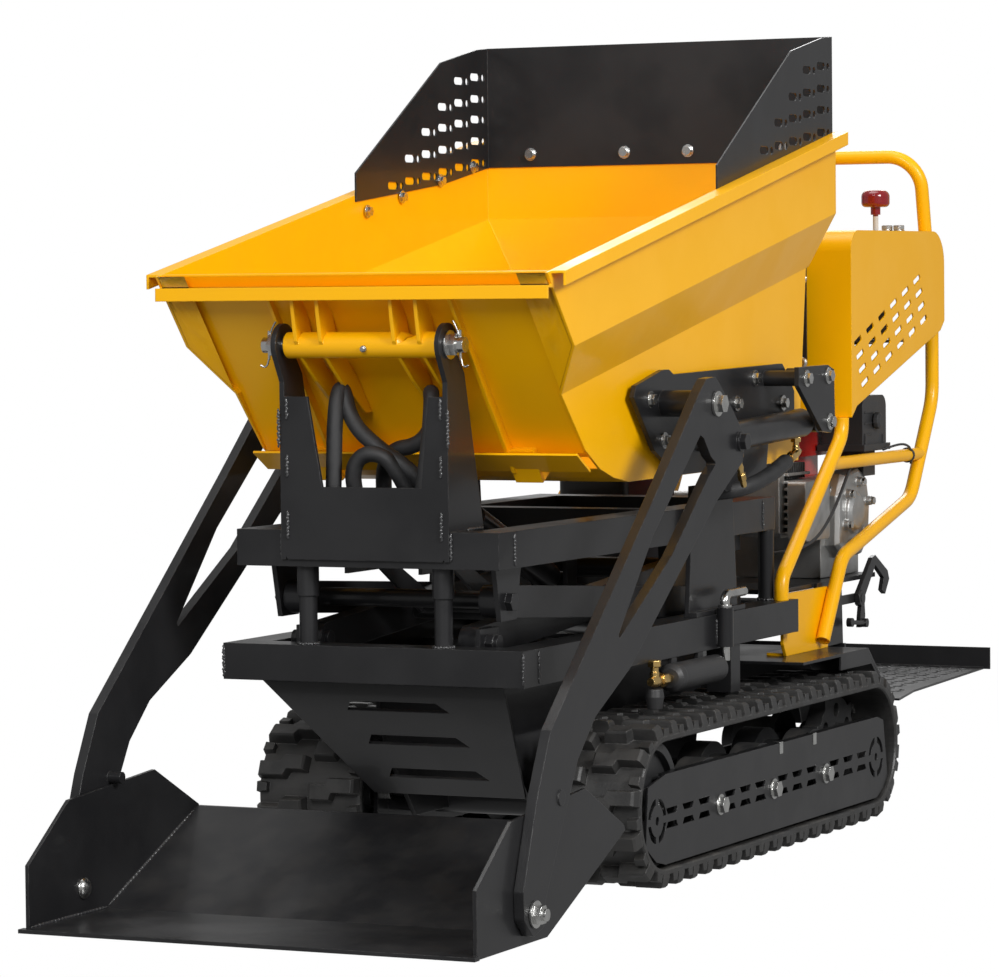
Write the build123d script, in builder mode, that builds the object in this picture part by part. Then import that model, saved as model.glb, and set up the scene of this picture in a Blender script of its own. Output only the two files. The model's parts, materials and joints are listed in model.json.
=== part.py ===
from build123d import *
import math
import os

# Power wheelbarrow: a tracked mini dumper with a self-loading scoop and a scissor-lift tipping bin.
# Millimetres. +Z is up, the scoop is at -Y, the operator stands at +Y, +X is the machine's left side.
# Stations along the machine are measured from the middle of the tracks, which lies at Y = track_mid.
# (y, z) pairs are stations seen from the side.

# ---- driving dimensions ----
track_mid = -38.0          # middle of the tracks, from the middle of the overall length
fit = 0.05                 # radial clearance of a pin in its bore
gap = 0.5                  # clearance between pieces that move past each other

# tracks
track_gauge = 242.0        # middle of each belt from the centre plane
belt_width = 180.0
belt_thick = 10.0
lug_height = 20.0
lug_pitch_count = 42
wheel_base = 934.0         # sprocket axle to idler axle
belt_radius = 110.0        # outside of the carcass round the end wheels
axle_z = lug_height + belt_radius
roller_radius = 75.0
roller_axle_z = lug_height + belt_thick + roller_radius + gap
roller_stations = (-240.0, -7.0, 232.0)
roller_width = 130.0
axle_radius = 10.0
side_plate_in = 164.0      # inner side plate of each track, middle of its thickness
side_plate = 8.0
cover_in = 322.0
cover_sheet = 4.0
tooth_count = 9
motor_radius = 45.0
shaft_radius = 12.5

# lower and upper frames
tube = 56.0
lower_half = 255.0
lower_bottom = 342.0
lower_front = -830.0
lower_rear = 293.0
upper_half = 222.0
upper_bottom = 519.0
upper_front = -842.0
upper_rear = 271.0
post_radius = 14.0

# scissor
arm_high = 50.0
arm_wide = 30.0
outer_arm_x = 167.0
inner_arm_x = 132.0
scissor_y = -744.0
lower_pivot_z = 402.0
upper_pivot_z = 465.0
arm_length = 900.0
scissor_pin = 12.0
wheel_radius = 22.0

# tower and bin
tip_pivot = (-842.0, 856.0)
tower_plate_x = 134.0
tower_sheet = 8.0
tip_pin = 12.0
tip_tube = 20.0
bin_sheet = 4.0
bin_low_half = 279.0
bin_top_half = 330.0
rim_half = 353.0
rim_deep = 22.0
extension_sheet = 3.0

# loader
arm_in = 369.0
arm_plate = 16.0
arm_pivot = (-386.0, 755.0)
lever_pin = (-287.0, 692.0)
cylinder_base = (152.0, 709.0)
scoop_pivot = (-1080.0, 45.0)
loader_pin = 12.0
stand_in = 288.0
stand_sheet = 8.0
base_plate_in = 360.0
loader_cyl_x = 328.0
barrel_radius = 24.0
rod_radius = 12.0
scoop_half = 368.0
scoop_sheet = 6.0
scoop_lip = -1252.0

# rear
handle_x = 240.0
handle_radius = 12.5
handle_wall = 2.0
console_half = 258.0
console_sheet = 3.0
deck_z = 297.0
deck_sheet = 5.0
base_z = 413.0
platform_hinge = (650.0, 182.0)
platform_z = 193.0
platform_rear = 1328.0
platform_sheet = 4.0
hook_pivot = (669.0, 373.0)
lock_pin_y = -66.0
lock_pin_radius = 8.0
sleeve_radius = 14.0

os.makedirs("parts", exist_ok=True)
sides = {"left": 1, "right": -1}


def keep(piece, name):
    piece.part.label = name
    export_step(piece.part, f"parts/{name}.step")
    print(name, len(piece.part.solids()), round(piece.part.volume))


def span(a, b):
    return (a + b) / 2, abs(b - a)


def block(x, y, z, mode=Mode.ADD):
    # a box between pairs of limits
    (cx, dx), (cy, dy), (cz, dz) = span(*x), span(*y), span(*z)
    with Locations((cx, cy + track_mid, cz)):
        Box(dx, dy, dz, mode=mode)


def rod_x(radius, x0, x1, at, mode=Mode.ADD):
    # a round bar across the machine through the side-view point `at`
    with Locations(Location(((x0 + x1) / 2, at[0] + track_mid, at[1]), (0, 90, 0))):
        Cylinder(radius, abs(x1 - x0), mode=mode)


def rod_z(radius, x, y, z0, z1, mode=Mode.ADD):
    with Locations((x, y + track_mid, (z0 + z1) / 2)):
        Cylinder(radius, abs(z1 - z0), mode=mode)


def rod_between(radius, x, p, q, mode=Mode.ADD):
    # a round bar in a side plane from p to q
    a = Vector(x, p[0] + track_mid, p[1])
    b = Vector(x, q[0] + track_mid, q[1])
    plane = Plane(origin=a, z_dir=(b - a).normalized())
    with BuildSketch(plane) as disc:
        Circle(radius)
    extrude(disc.sketch, amount=(b - a).length, mode=mode)


def plate_x(points, x0, x1, mode=Mode.ADD, corner=0):
    # a plate of side-view outline `points`, from x0 to x1
    lo, hi = min(x0, x1), max(x0, x1)
    with BuildSketch(Plane.YZ.offset(lo)) as outline:
        with BuildLine():
            Polyline(*[(y + track_mid, z) for y, z in points], close=True)
        make_face()
        if corner:
            fillet(outline.vertices(), corner)
    extrude(outline.sketch, amount=hi - lo, mode=mode)


def hex_x(radius, x0, x1, at, mode=Mode.ADD):
    # a hexagon head or nut across the machine
    lo, hi = min(x0, x1), max(x0, x1)
    with BuildSketch(Plane.YZ.offset(lo)) as head:
        with Locations((at[0] + track_mid, at[1])):
            RegularPolygon(radius, 6)
    extrude(head.sketch, amount=hi - lo, mode=mode)


def ring_x(outer, inner, x0, x1, at):
    rod_x(outer, x0, x1, at)
    rod_x(inner, x0 - 1, x1 + 1, at, mode=Mode.SUBTRACT)


def tube_path(points, radii, radius, wall=0.0):
    # a bent tube; points are (x, y, z) with y as a station
    with BuildLine() as path:
        FilletPolyline(*[(x, y + track_mid, z) for x, y, z in points], radius=radii)
    start = path.wire() @ 0
    with BuildSketch(Plane(origin=start, z_dir=path.wire() % 0)) as section:
        Circle(radius)
        if wall:
            Circle(radius - wall, mode=Mode.SUBTRACT)
    sweep(section.sketch, path=path.wire())


def beam(x, wide, p, q, high, round_ends=True):
    # a flat-sided arm in a side plane from p to q with round ends
    length = math.dist(p, q)
    angle = math.degrees(math.atan2(q[1] - p[1], q[0] - p[0]))
    lo = x - wide / 2
    with BuildSketch(Plane.YZ.offset(lo)) as outline:
        with Locations(Location(((p[0] + q[0]) / 2 + track_mid, (p[1] + q[1]) / 2), angle)):
            SlotCenterToCenter(length, high)
    extrude(outline.sketch, amount=wide)


# ---- tracks ----
belt_length = 2 * wheel_base + 2 * math.pi * (belt_radius - belt_thick / 2)
half_base = wheel_base / 2


def belt_point(s, radius):
    # the point at distance s round the belt, and the angle of its outward direction
    arc = math.pi * (belt_radius - belt_thick / 2)
    s = s % belt_length
    if s < wheel_base:
        return -half_base + s, axle_z + radius, 90.0
    s -= wheel_base
    if s < arc:
        a = 90.0 - 180.0 * s / arc
        return half_base + radius * math.cos(math.radians(a)), axle_z + radius * math.sin(math.radians(a)), a
    s -= arc
    if s < wheel_base:
        return half_base - s, axle_z - radius, -90.0
    s -= wheel_base
    a = -90.0 - 180.0 * s / arc
    return -half_base + radius * math.cos(math.radians(a)), axle_z + radius * math.sin(math.radians(a)), a


def make_belt(name, side):
    centre = side * track_gauge
    halves = ((centre - belt_width / 2, 0.0), (centre, 0.5))
    with BuildPart() as belt:
        for x0, phase in halves:
            with BuildSketch(Plane.YZ.offset(x0)) as outline:
                with Locations((track_mid, axle_z)):
                    SlotCenterToCenter(wheel_base, 2 * belt_radius)
                for i in range(lug_pitch_count):
                    s = (i + phase) * belt_length / lug_pitch_count
                    y, z, a = belt_point(s, belt_radius + lug_height / 2 - 3)
                    with Locations(Location((y + track_mid, z), a - 90)):
                        Trapezoid(32, lug_height + 6, 78)
                with Locations((track_mid, axle_z)):
                    SlotCenterToCenter(wheel_base, 2 * (belt_radius - belt_thick), mode=Mode.SUBTRACT)
            extrude(outline.sketch, amount=belt_width / 2)
    keep(belt, name)


def make_sprocket(name, side):
    at = (half_base, axle_z)
    x_in = side * 196
    x_out = side * 288
    root = belt_radius - belt_thick - 16
    with BuildPart() as sprocket:
        with BuildSketch(Plane.YZ.offset(min(side * 227, side * 257))) as outline:
            with Locations((at[0] + track_mid, at[1])):
                Circle(root)
            for i in range(tooth_count):
                a = 360 / tooth_count * i
                y = at[0] + (root + 4) * math.cos(math.radians(a))
                z = at[1] + (root + 4) * math.sin(math.radians(a))
                with Locations(Location((y + track_mid, z), a - 90)):
                    Trapezoid(30, 20, 65)
        extrude(outline.sketch, amount=30)
        rod_x(38, x_in, x_out, at)
        for i in range(6):
            a = math.radians(60 * i + 30)
            hole = (at[0] + 60 * math.cos(a), at[1] + 60 * math.sin(a))
            rod_x(13, side * 220, side * 262, hole, mode=Mode.SUBTRACT)
        rod_x(shaft_radius, side * 80, x_in, at)
    keep(sprocket, name)


def make_wheel(name, side, at, radius, groove):
    # a double-flanged wheel with a bored hub
    x0 = side * track_gauge - roller_width / 2
    x1 = side * track_gauge + roller_width / 2
    with BuildPart() as wheel:
        rod_x(radius, x0, x1, at)
        rod_x(radius + 1, x0 + 42, x1 - 42, at, mode=Mode.SUBTRACT)
        rod_x(radius - groove, x0 + 42, x1 - 42, at)
        for a, b in ((x0, x0 + 12), (x1 - 12, x1)):
            rod_x(radius - 14, a, b, at, mode=Mode.SUBTRACT)
            rod_x(26, a, b, at)
        rod_x(axle_radius + fit, x0 - 1, x1 + 1, at, mode=Mode.SUBTRACT)
    keep(wheel, name)


idler_at = (-half_base, axle_z)
for word, side in sides.items():
    make_belt(f"rubber_track_{word}", side)
    make_sprocket(f"drive_sprocket_{word}", side)
    make_wheel(f"idler_wheel_{word}", side, idler_at, belt_radius - belt_thick - gap, 22)
    for row, station in zip(("front", "middle", "rear"), roller_stations):
        make_wheel(f"road_roller_{row}_{word}", side, (station, roller_axle_z), roller_radius, 20)

# the carrier inside each track, tied together under the lower frame
carrier_z = (62.0, 152.0)
cross_stations = (-330.0, 95.0)
cross_radius = 25.0
keel_x = 112.0
keel_sheet = 8.0
with BuildPart() as undercarriage:
    for side in sides.values():
        x0 = side * (side_plate_in - side_plate / 2)
        x1 = side * (side_plate_in + side_plate / 2)
        block((x0, x1), (-half_base - 30, half_base + 50), carrier_z)
        block((x0, side * 175), (-445, 380), (96, 116))
        for station in roller_stations:
            rod_x(axle_radius + 8, x0, side * 176.4, (station, roller_axle_z))
            rod_x(axle_radius + fit, x0 - 40, x0 + 60, (station, roller_axle_z), mode=Mode.SUBTRACT)
        rod_x(axle_radius + 8, x0, side * 176.4, idler_at)
        rod_x(axle_radius + fit, x0 - 40, x0 + 60, idler_at, mode=Mode.SUBTRACT)
        rod_x(motor_radius - 20, x0 - 20, x0 + 20, (half_base, axle_z), mode=Mode.SUBTRACT)
        k0 = side * keel_x
        k1 = side * (keel_x - keel_sheet)
        keel = ((-470, 96), (-560, 200), (-620, lower_bottom), (200, lower_bottom), (200, 262), (160, 96))
        plate_x(keel, k0, k1)
        rod_x(12, side * (side_plate_in - 4), side * keel_x, (-450, 112))
    for station in cross_stations:
        rod_x(cross_radius, -side_plate_in, side_plate_in, (station, 110))
keep(undercarriage, "undercarriage")

with BuildPart() as drive_motors:
    for side in sides.values():
        at = (half_base, axle_z)
        outer = side * (side_plate_in - side_plate / 2)
        rod_x(motor_radius, outer, side * 76, at)
        rod_x(motor_radius + 14, outer, outer - side * 12, at)
        rod_x(motor_radius - 12, side * 76, side * 52, at)
        rod_x(shaft_radius + fit, outer + side * 1, side * 79.5, at, mode=Mode.SUBTRACT)
keep(drive_motors, "drive_motors")

# axle bolts run from the carrier through the wheels to the cover plates
with BuildPart() as axle_bolts:
    for side in sides.values():
        start = side * (side_plate_in - side_plate / 2 - 10)
        for station in roller_stations:
            at = (station, roller_axle_z)
            rod_x(axle_radius, start, side * (cover_in + cover_sheet + 7), at)
            rod_x(17, side * (cover_in + cover_sheet), side * (cover_in + cover_sheet + 3), at)
            hex_x(14, side * (cover_in + cover_sheet + 3), side * (cover_in + cover_sheet + 12), at)
        rod_x(axle_radius, start, side * (cover_in - 1), idler_at)
keep(axle_bolts, "axle_bolts")

cover_outline = (
    (-540, 70), (-530, 164), (-460, 178), (488, 178), (518, 170), (538, 68),
    (516, 50), (483, 36), (-463, 36), (-500, 44),
)
ring_stations = (-495.0, 480.0)
ring_z = 108.0
ring_outer = 36.0
ring_wide = 11.0
cover_slot_starts = (-436.0, -196.0, 36.0, 276.0)
cover_slot_pitch = 66.0


def make_cover(name, side):
    # a flat plate with folded edges, slotted between the bolts, with an arc-slotted ring at each end
    x0 = side * cover_in
    x1 = side * (cover_in + cover_sheet)
    cut = (side * (cover_in - 30), side * (cover_in + 30))
    with BuildPart() as cover:
        plate_x(cover_outline, x0, x1)
        block((x0, side * (cover_in - 12)), (-452, 480), (174, 178))
        block((x0, side * (cover_in - 10)), (-455, 475), (36, 40))
        for station in roller_stations:
            rod_x(axle_radius + fit, *cut, (station, roller_axle_z), mode=Mode.SUBTRACT)
        for station in ring_stations:
            rod_x(7, *cut, (station, ring_z), mode=Mode.SUBTRACT)
            with BuildSketch(Plane.YZ.offset(min(cut))) as arcs:
                with Locations((station + track_mid, ring_z)):
                    Circle(ring_outer)
                    Circle(ring_outer - ring_wide, mode=Mode.SUBTRACT)
                    Rectangle(ring_wide, 3 * ring_outer, mode=Mode.SUBTRACT)
                    Rectangle(3 * ring_outer, ring_wide, mode=Mode.SUBTRACT)
            extrude(arcs.sketch, amount=60, mode=Mode.SUBTRACT)
        for start in cover_slot_starts:
            for i in range(3):
                y = start + cover_slot_pitch * i
                for z, way in ((97, -1), (119, 1)):
                    # the wide edges of the two rows face away from each other
                    slot = ((y - 24, z + 5 * way), (y + 24, z + 5 * way), (y + 17, z - 5 * way), (y - 17, z - 5 * way))
                    plate_x(slot, *cut, mode=Mode.SUBTRACT)
    keep(cover, name)


for word, side in sides.items():
    make_cover(f"track_cover_{word}", side)

# front guard: an inclined trapezoid plate under the lower frame, with three slots
guard_top = (-792.0, lower_bottom)
guard_foot = (-560.0, 146.0)
guard_sheet = 5.0
guard_run = math.dist(guard_top, guard_foot)
guard_dir = ((guard_foot[0] - guard_top[0]) / guard_run, (guard_foot[1] - guard_top[1]) / guard_run)
guard_plane = Plane(
    origin=(0, guard_top[0] + track_mid, guard_top[1]), x_dir=(1, 0, 0), z_dir=(0, guard_dir[1], -guard_dir[0])
)
with BuildPart() as front_guard:
    with BuildSketch(guard_plane) as outline:
        with BuildLine():
            Polyline((-205, 0), (205, 0), (132, -guard_run), (-132, -guard_run), close=True)
        make_face()
        for row in range(3):
            with Locations((0, -60 - 92 * row)):
                Trapezoid(176, 26, 60, mode=Mode.SUBTRACT)
    extrude(outline.sketch, amount=guard_sheet)
    for x in (-126, 126):
        plate_x(((-770, lower_bottom), (-700, lower_bottom), (-700, 271), (-778, 337)), x - 4, x + 4)
keep(front_guard, "front_guard")

# ---- lower frame ----
arm_angle = math.asin((upper_pivot_z - lower_pivot_z) / arm_length)
arm_run = arm_length * math.cos(arm_angle)
lower_top = lower_bottom + tube
upper_top = upper_bottom + tube
pin_low = (scissor_y, lower_pivot_z)
pin_high = (scissor_y, upper_pivot_z)
end_low = (scissor_y + arm_run, lower_pivot_z)
end_high = (scissor_y + arm_run, upper_pivot_z)
pin_mid = (scissor_y + arm_run / 2, (lower_pivot_z + upper_pivot_z) / 2)
lift_base = (60.0, 370.0)
lift_eye = (-350.0, 414.0)
lift_pin = 10.0
tip_base = (-160.0, 452.0)
tip_eye = (-585.0, 618.0)
rail_in = lower_half - tube
with BuildPart() as lower_frame:
    block((-lower_half, lower_half), (lower_front, lower_front + tube), (lower_bottom, lower_top))
    block((-rail_in, rail_in), (lower_rear - tube, lower_rear), (lower_bottom, lower_top))
    block((-rail_in, rail_in), (-250, -200), (lower_bottom, lower_bottom + 20))
    block((-rail_in, rail_in), (lift_base[0] - 30, lift_base[0] + 30), (lower_bottom, lower_bottom + 8))
    for side in sides.values():
        block((side * rail_in, side * lower_half), (lower_front + tube, lower_rear), (lower_bottom, lower_top))
        # stop posts that carry the folded upper frame
        rod_z(post_radius, side * 115, lower_front + 17, lower_top, upper_bottom - gap)
        rod_z(post_radius + 3, side * 115, lower_front + 17, upper_bottom - 46, upper_bottom - gap)
        rod_z(post_radius, side * 212, 252, lower_top, upper_bottom - gap)
        # pivot plates and pins of the inner arms
        plate_x(((-774, 350), (-708, 350), (-708, 424), (-774, 424)), side * 149, side * 157)
        rod_x(scissor_pin, side * 112, side * 176, pin_low)
        hex_x(15, side * 157, side * 169, pin_low)
        # ledge for the outer arm's wheel
        ledge_top = lower_pivot_z - wheel_radius - gap
        block((side * 184, side * rail_in), (-70, 190), (ledge_top - 10, ledge_top))
        # lugs of the lift cylinder
        plate_x(((30, 350), (90, 350), (84, 384), (40, 384)), side * 25, side * 33)
        # sleeve of the lock pin
        rod_z(sleeve_radius, side * (lower_half + sleeve_radius - 3), lock_pin_y, lower_bottom + 3, lower_top + 11)
        rod_z(lock_pin_radius + fit, side * (lower_half + sleeve_radius - 3), lock_pin_y, 300, 430,
              mode=Mode.SUBTRACT)
        block((side * 205, side * 249), (0, 40), (262, lower_bottom))
    rod_x(lift_pin, -33, 33, lift_base)
keep(lower_frame, "lower_frame")

# ---- scissor ----
with BuildPart() as scissor_inner_arms:
    for side in sides.values():
        beam(side * inner_arm_x, arm_wide, pin_low, end_high, arm_high)
        inner = side * (inner_arm_x - arm_wide / 2)
        outer = side * (inner_arm_x + arm_wide / 2)
        rod_x(scissor_pin + fit, inner - side * 5, outer + side * 2, pin_low, mode=Mode.SUBTRACT)
        rod_x(scissor_pin, inner - side * 8, side * 190, pin_mid)
        rod_x(8, outer - side * 2, outer + side * 16, end_high)
        rod_x(wheel_radius, outer + side * 3, outer + side * 15, end_high)
    inner_limit = inner_arm_x - arm_wide / 2
    rod_x(18, -inner_limit, inner_limit, (90, 461))
    rod_x(18, -inner_limit, inner_limit, (lift_eye[0] - 84, lift_eye[1] + 14))
    for side in sides.values():
        lug = ((-446, 430), (-430, 444), (-334, 424), (-334, 402), (-362, 402))
        plate_x(lug, side * 25, side * 33)
keep(scissor_inner_arms, "scissor_inner_arms")

with BuildPart() as scissor_outer_arms:
    for side in sides.values():
        beam(side * outer_arm_x, arm_wide, pin_high, end_low, arm_high)
        inner = side * (outer_arm_x - arm_wide / 2)
        outer = side * (outer_arm_x + arm_wide / 2)
        for pin in (pin_high, pin_mid):
            rod_x(scissor_pin + fit, inner - side * 2, outer + side * 2, pin, mode=Mode.SUBTRACT)
        rod_x(8, outer - side * 2, outer + side * 15, end_low)
        rod_x(wheel_radius, outer + side * 2.5, outer + side * 14, end_low)
    tie_half = outer_arm_x - arm_wide / 2
    rod_x(14, -tie_half, tie_half, (-694, 463))
keep(scissor_outer_arms, "scissor_outer_arms")


def cylinder_pair(x_list, base, eye, barrel, rod, barrel_share, base_pin, names):
    # a hydraulic cylinder: the barrel is carried at its base, the rod slides out towards the eye
    length = math.dist(base, eye)
    uy = (eye[0] - base[0]) / length
    uz = (eye[1] - base[1]) / length
    mouth = (base[0] + uy * length * barrel_share, base[1] + uz * length * barrel_share)
    tail = (base[0] + uy * (barrel + 6), base[1] + uz * (barrel + 6))
    inside = (base[0] + uy * (barrel + 24), base[1] + uz * (barrel + 24))
    neck = (eye[0] - uy * 10, eye[1] - uz * 10)
    with BuildPart() as body:
        for x in x_list:
            rod_between(barrel, x, tail, mouth)
            rod_x(base_pin + 8, x - 20, x + 20, base)
            rod_between(base_pin + 4, x, base, tail)
            rod_between(rod + 6, x, inside, (mouth[0] - uy * 14, mouth[1] - uz * 14), mode=Mode.SUBTRACT)
            rod_between(rod + fit, x, inside, (mouth[0] + uy * 5, mouth[1] + uz * 5), mode=Mode.SUBTRACT)
            rod_x(base_pin + fit, x - 30, x + 30, base, mode=Mode.SUBTRACT)
    keep(body, names[0])
    with BuildPart() as ram:
        for x in x_list:
            rod_between(rod, x, (inside[0] + uy * 16, inside[1] + uz * 16), neck)
            rod_between(rod + 5, x, (inside[0] + uy * 16, inside[1] + uz * 16),
                        (inside[0] + uy * 40, inside[1] + uz * 40))
            rod_x(rod + 6, x - 20, x + 20, eye)
    keep(ram, names[1])


cylinder_pair((0.0,), lift_base, lift_eye, 22.0, 11.0, 0.66, lift_pin,
              ("lift_cylinder_barrel", "lift_cylinder_rod"))
cylinder_pair((0.0,), tip_base, tip_eye, 24.0, 12.0, 0.74, lift_pin,
              ("tip_cylinder_barrel", "tip_cylinder_rod"))

# ---- upper frame with the tower that carries the bin ----
upper_in = upper_half - tube
tower_out = tower_plate_x + tower_sheet
with BuildPart() as upper_frame:
    block((-upper_half, upper_half), (upper_front, upper_front + tube), (upper_bottom, upper_top))
    block((-upper_in, upper_in), (upper_rear - tube, upper_rear), (upper_bottom, upper_top))
    block((-upper_in, upper_in), (tip_base[0] - 10, tip_base[0] + 34), (upper_bottom, upper_top))
    for side in sides.values():
        block((side * upper_in, side * upper_half), (upper_front + tube, upper_rear), (upper_bottom, upper_top))
        # hanging plates and pins of the outer arms
        hanger = ((-790, upper_bottom), (-698, upper_bottom), (-716, 436), (-770, 436))
        plate_x(hanger, side * 183, side * 191)
        rod_x(scissor_pin, side * 153, side * 194, pin_high)
        hex_x(15, side * 191, side * 202, pin_high)
        # ledge over the inner arm's wheel
        ledge_low = upper_pivot_z + wheel_radius + gap
        block((side * 149, side * 190), (-70, 190), (ledge_low, upper_bottom))
        # tip cylinder lugs
        plate_x(((-182, upper_bottom), (-138, upper_bottom), (-142, 438), (-178, 438)), side * 25, side * 33)
        # braces behind the front cross tube, joined by a round tube
        brace = ((-786, 520), (-640, 520), (-500, 456), (-500, 428), (-530, 428), (-672, 506), (-786, 506))
        plate_x(brace, side * 60, side * 66)
        # side plate of the tower
        front = upper_front - tower_sheet + 2
        outline = (
            (front, 530), (front, 800), (tip_pivot[0] - 30, tip_pivot[1] - 14), (tip_pivot[0] + 30, tip_pivot[1] - 14),
            (-788, 812), (-726, upper_top), (-726, 530),
        )
        plate_x(outline, side * tower_plate_x, side * tower_out)
        rod_x(33, side * tower_plate_x, side * tower_out, tip_pivot)
        rod_x(tip_pin + fit, side * (tower_plate_x - 5), side * (tower_out + 5), tip_pivot, mode=Mode.SUBTRACT)
    # front plate of the tower, slotted for the hoses
    with BuildSketch(Plane.XZ.offset(-(upper_front + track_mid))) as front_plate:
        with BuildLine():
            Polyline((-tower_plate_x, 530), (tower_plate_x, 530), (tower_plate_x, 778), (110, 778), (97, 641),
                     (-71, 641), (-95, 778), (-tower_plate_x, 778), close=True)
        make_face()
        fillet(front_plate.vertices().sort_by_distance((97, upper_front + track_mid, 641))[0], 6)
        fillet(front_plate.vertices().sort_by_distance((-71, upper_front + track_mid, 641))[0], 6)
    extrude(front_plate.sketch, amount=6)
    # manifold of the tip cylinder's hoses, on the braces
    block((-66, 66), (-700, -650), (520, 545))
    rod_x(14, -60, 60, (-516, 442))
    rod_x(lift_pin, -33, 33, tip_base)
keep(upper_frame, "upper_frame")

with BuildPart() as tower_pin:
    rod_x(tip_pin, -170, 170, tip_pivot)
    for side in sides.values():
        ring_x(22, tip_pin - 1, side * (tower_out + gap), side * (tower_out + 4), tip_pivot)
        hex_x(18, side * (tower_out + 4), side * (tower_out + 16), tip_pivot)
        rod_z(2, side * 162, tip_pivot[0], tip_pivot[1] - 22, tip_pivot[1] + 22)
keep(tower_pin, "tower_pin")

# ---- bin ----
rim_line = ((-895.0, 962.0), (290.0, 1198.0))
fold_top = ((-800.0, 853.0), (290.0, 1060.0))
rear_foot = (236.0, 640.0)
rear_head = (290.0, 1060.0)
fold_low_z = 967.0
rear_share = (fold_low_z - rear_foot[1]) / (rear_head[1] - rear_foot[1])
fold_low = ((-737.0, 779.0), (rear_foot[0] + rear_share * (rear_head[0] - rear_foot[0]), fold_low_z))
# the lower fold line runs on to the plane of the rear wall's upper part
fold_slope = (fold_low[1][1] - fold_low[0][1]) / (fold_low[1][0] - fold_low[0][0])
flare_corner = (rear_head[0], fold_low_z + fold_slope * (rear_head[0] - fold_low[1][0]))
nose = ((-650.0, 691.0), (-595.0, 660.0), (-545.0, 645.0), (-488.0, 636.0))
front_wall = ((-882.0, 962.0), (-621.0, 662.0))


def bin_block(inset):
    # the outer form of the bin, narrow below, flared to full width above the upper fold line
    low = bin_low_half - inset
    top = bin_top_half - inset
    above_low = (rim_line[0], fold_top[0], fold_low[0], fold_low[1], fold_top[1], rim_line[1])
    near_line = (rim_line[0], fold_low[0], flare_corner, rim_line[1])
    lower = (fold_low[0], *nose, rear_foot, fold_low[1])
    with BuildPart(mode=Mode.PRIVATE) as form:
        plate_x(above_low, -low, low)
        plate_x(lower, -low, low)
        for side in sides.values():
            wide = [Vector(side * top, y + track_mid, z) for y, z in (rim_line[0], fold_top[0], fold_top[1], rim_line[1])]
            near = [Vector(side * low, y + track_mid, z) for y, z in near_line]
            flare = Solid.make_loft([Wire.make_polygon(near), Wire.make_polygon(wide)], ruled=True)
            add(flare)
    return form.part


def bin_slice(outline, inset):
    # the part of the bin's form inside a side-view outline
    with BuildPart(mode=Mode.PRIVATE) as cut:
        plate_x(outline, -bin_top_half - 20, bin_top_half + 20)
    return bin_block(inset) & cut.part


wall_run = math.dist(*front_wall)
wall_dir = ((front_wall[1][0] - front_wall[0][0]) / wall_run, (front_wall[1][1] - front_wall[0][1]) / wall_run)
wall_back = (-wall_dir[1] * bin_sheet, wall_dir[0] * bin_sheet)
inside_front = [(p[0] + wall_back[0], p[1] + wall_back[1]) for p in front_wall]
cavity_outline = (
    (inside_front[0][0], 1300), inside_front[0], inside_front[1], (-488, 640 + bin_sheet),
    (rear_foot[0] - bin_sheet, rear_foot[1] + bin_sheet), (290 - bin_sheet, 1060), (290 - bin_sheet, 1300),
)
recess_outline = (
    (-1000, 1300), (front_wall[0][0], 1300), front_wall[0], front_wall[1], (-560, 560), (-1000, 560),
)
cavity = bin_slice(cavity_outline, bin_sheet)
recess = bin_slice(recess_outline, bin_sheet)

rim_angle = math.atan2(rim_line[1][1] - rim_line[0][1], rim_line[1][0] - rim_line[0][0])
rim_y = rim_line[0][0] + 14, rim_line[1][0]


def rim_height(y):
    return rim_line[0][1] + math.tan(rim_angle) * (y - rim_line[0][0])


with BuildPart() as bin_shell:
    add(bin_block(0))
    add(cavity, mode=Mode.SUBTRACT)
    add(recess, mode=Mode.SUBTRACT)
    for side in sides.values():
        # folded rim channel along each side
        top = [(rim_y[0], rim_height(rim_y[0])), (rim_y[1], rim_height(rim_y[1]))]
        channel = (*top, (rim_y[1], top[1][1] - rim_deep), (rim_y[0], top[0][1] - rim_deep))
        hollow = (
            (rim_y[0] - 20, top[0][1] - bin_sheet - 4), (rim_y[1] + 20, top[1][1] - bin_sheet + 4),
            (rim_y[1] + 20, top[1][1] - 60), (rim_y[0] - 20, top[0][1] - 60),
        )
        with BuildPart(mode=Mode.PRIVATE) as channel_part:
            plate_x(channel, side * (bin_top_half - bin_sheet), side * rim_half)
            plate_x(hollow, side * bin_top_half, side * (rim_half - bin_sheet), mode=Mode.SUBTRACT)
        add(channel_part.part)
        # ribs from the front wall to the tip tube
        for x in (side * 104, side * 62):
            rib = (
                (-880, 936), (-858, 936), (-826, 896), (-812, 856), (-750, 806), (-700, 750),
                (-722, 750), (-800, 800), (tip_pivot[0] - 4, tip_pivot[1] - tip_tube), (-866, 862), (-874, 900),
            )
            plate_x(rib, x - 3, x + 3)
        plate_x(((-632, 672), (-560, 655), (-560, 606), (-606, 602)), side * 24, side * 31)
        # channel brace down the front wall
        brace = ((-868, 930), (-846, 930), (-600, 655), (-640, 655))
        plate_x(brace, side * 150, side * 156)
        plate_x(((-664, 690), (-628, 700), (-600, 655), (-625, 640)), side * 150, side * 196)
    # folded lip along the front
    block((-bin_top_half, bin_top_half), (-895, -868), (940, 944))
    block((-bin_top_half, bin_top_half), (-895, -891), (924, 944))
    rod_x(tip_tube, -128, 128, tip_pivot)
    rod_x(tip_pin + fit, -140, 140, tip_pivot, mode=Mode.SUBTRACT)
    block((-bin_top_half, bin_top_half), (288, 302), (1194, 1198))
keep(bin_shell, "bin_shell")

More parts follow.
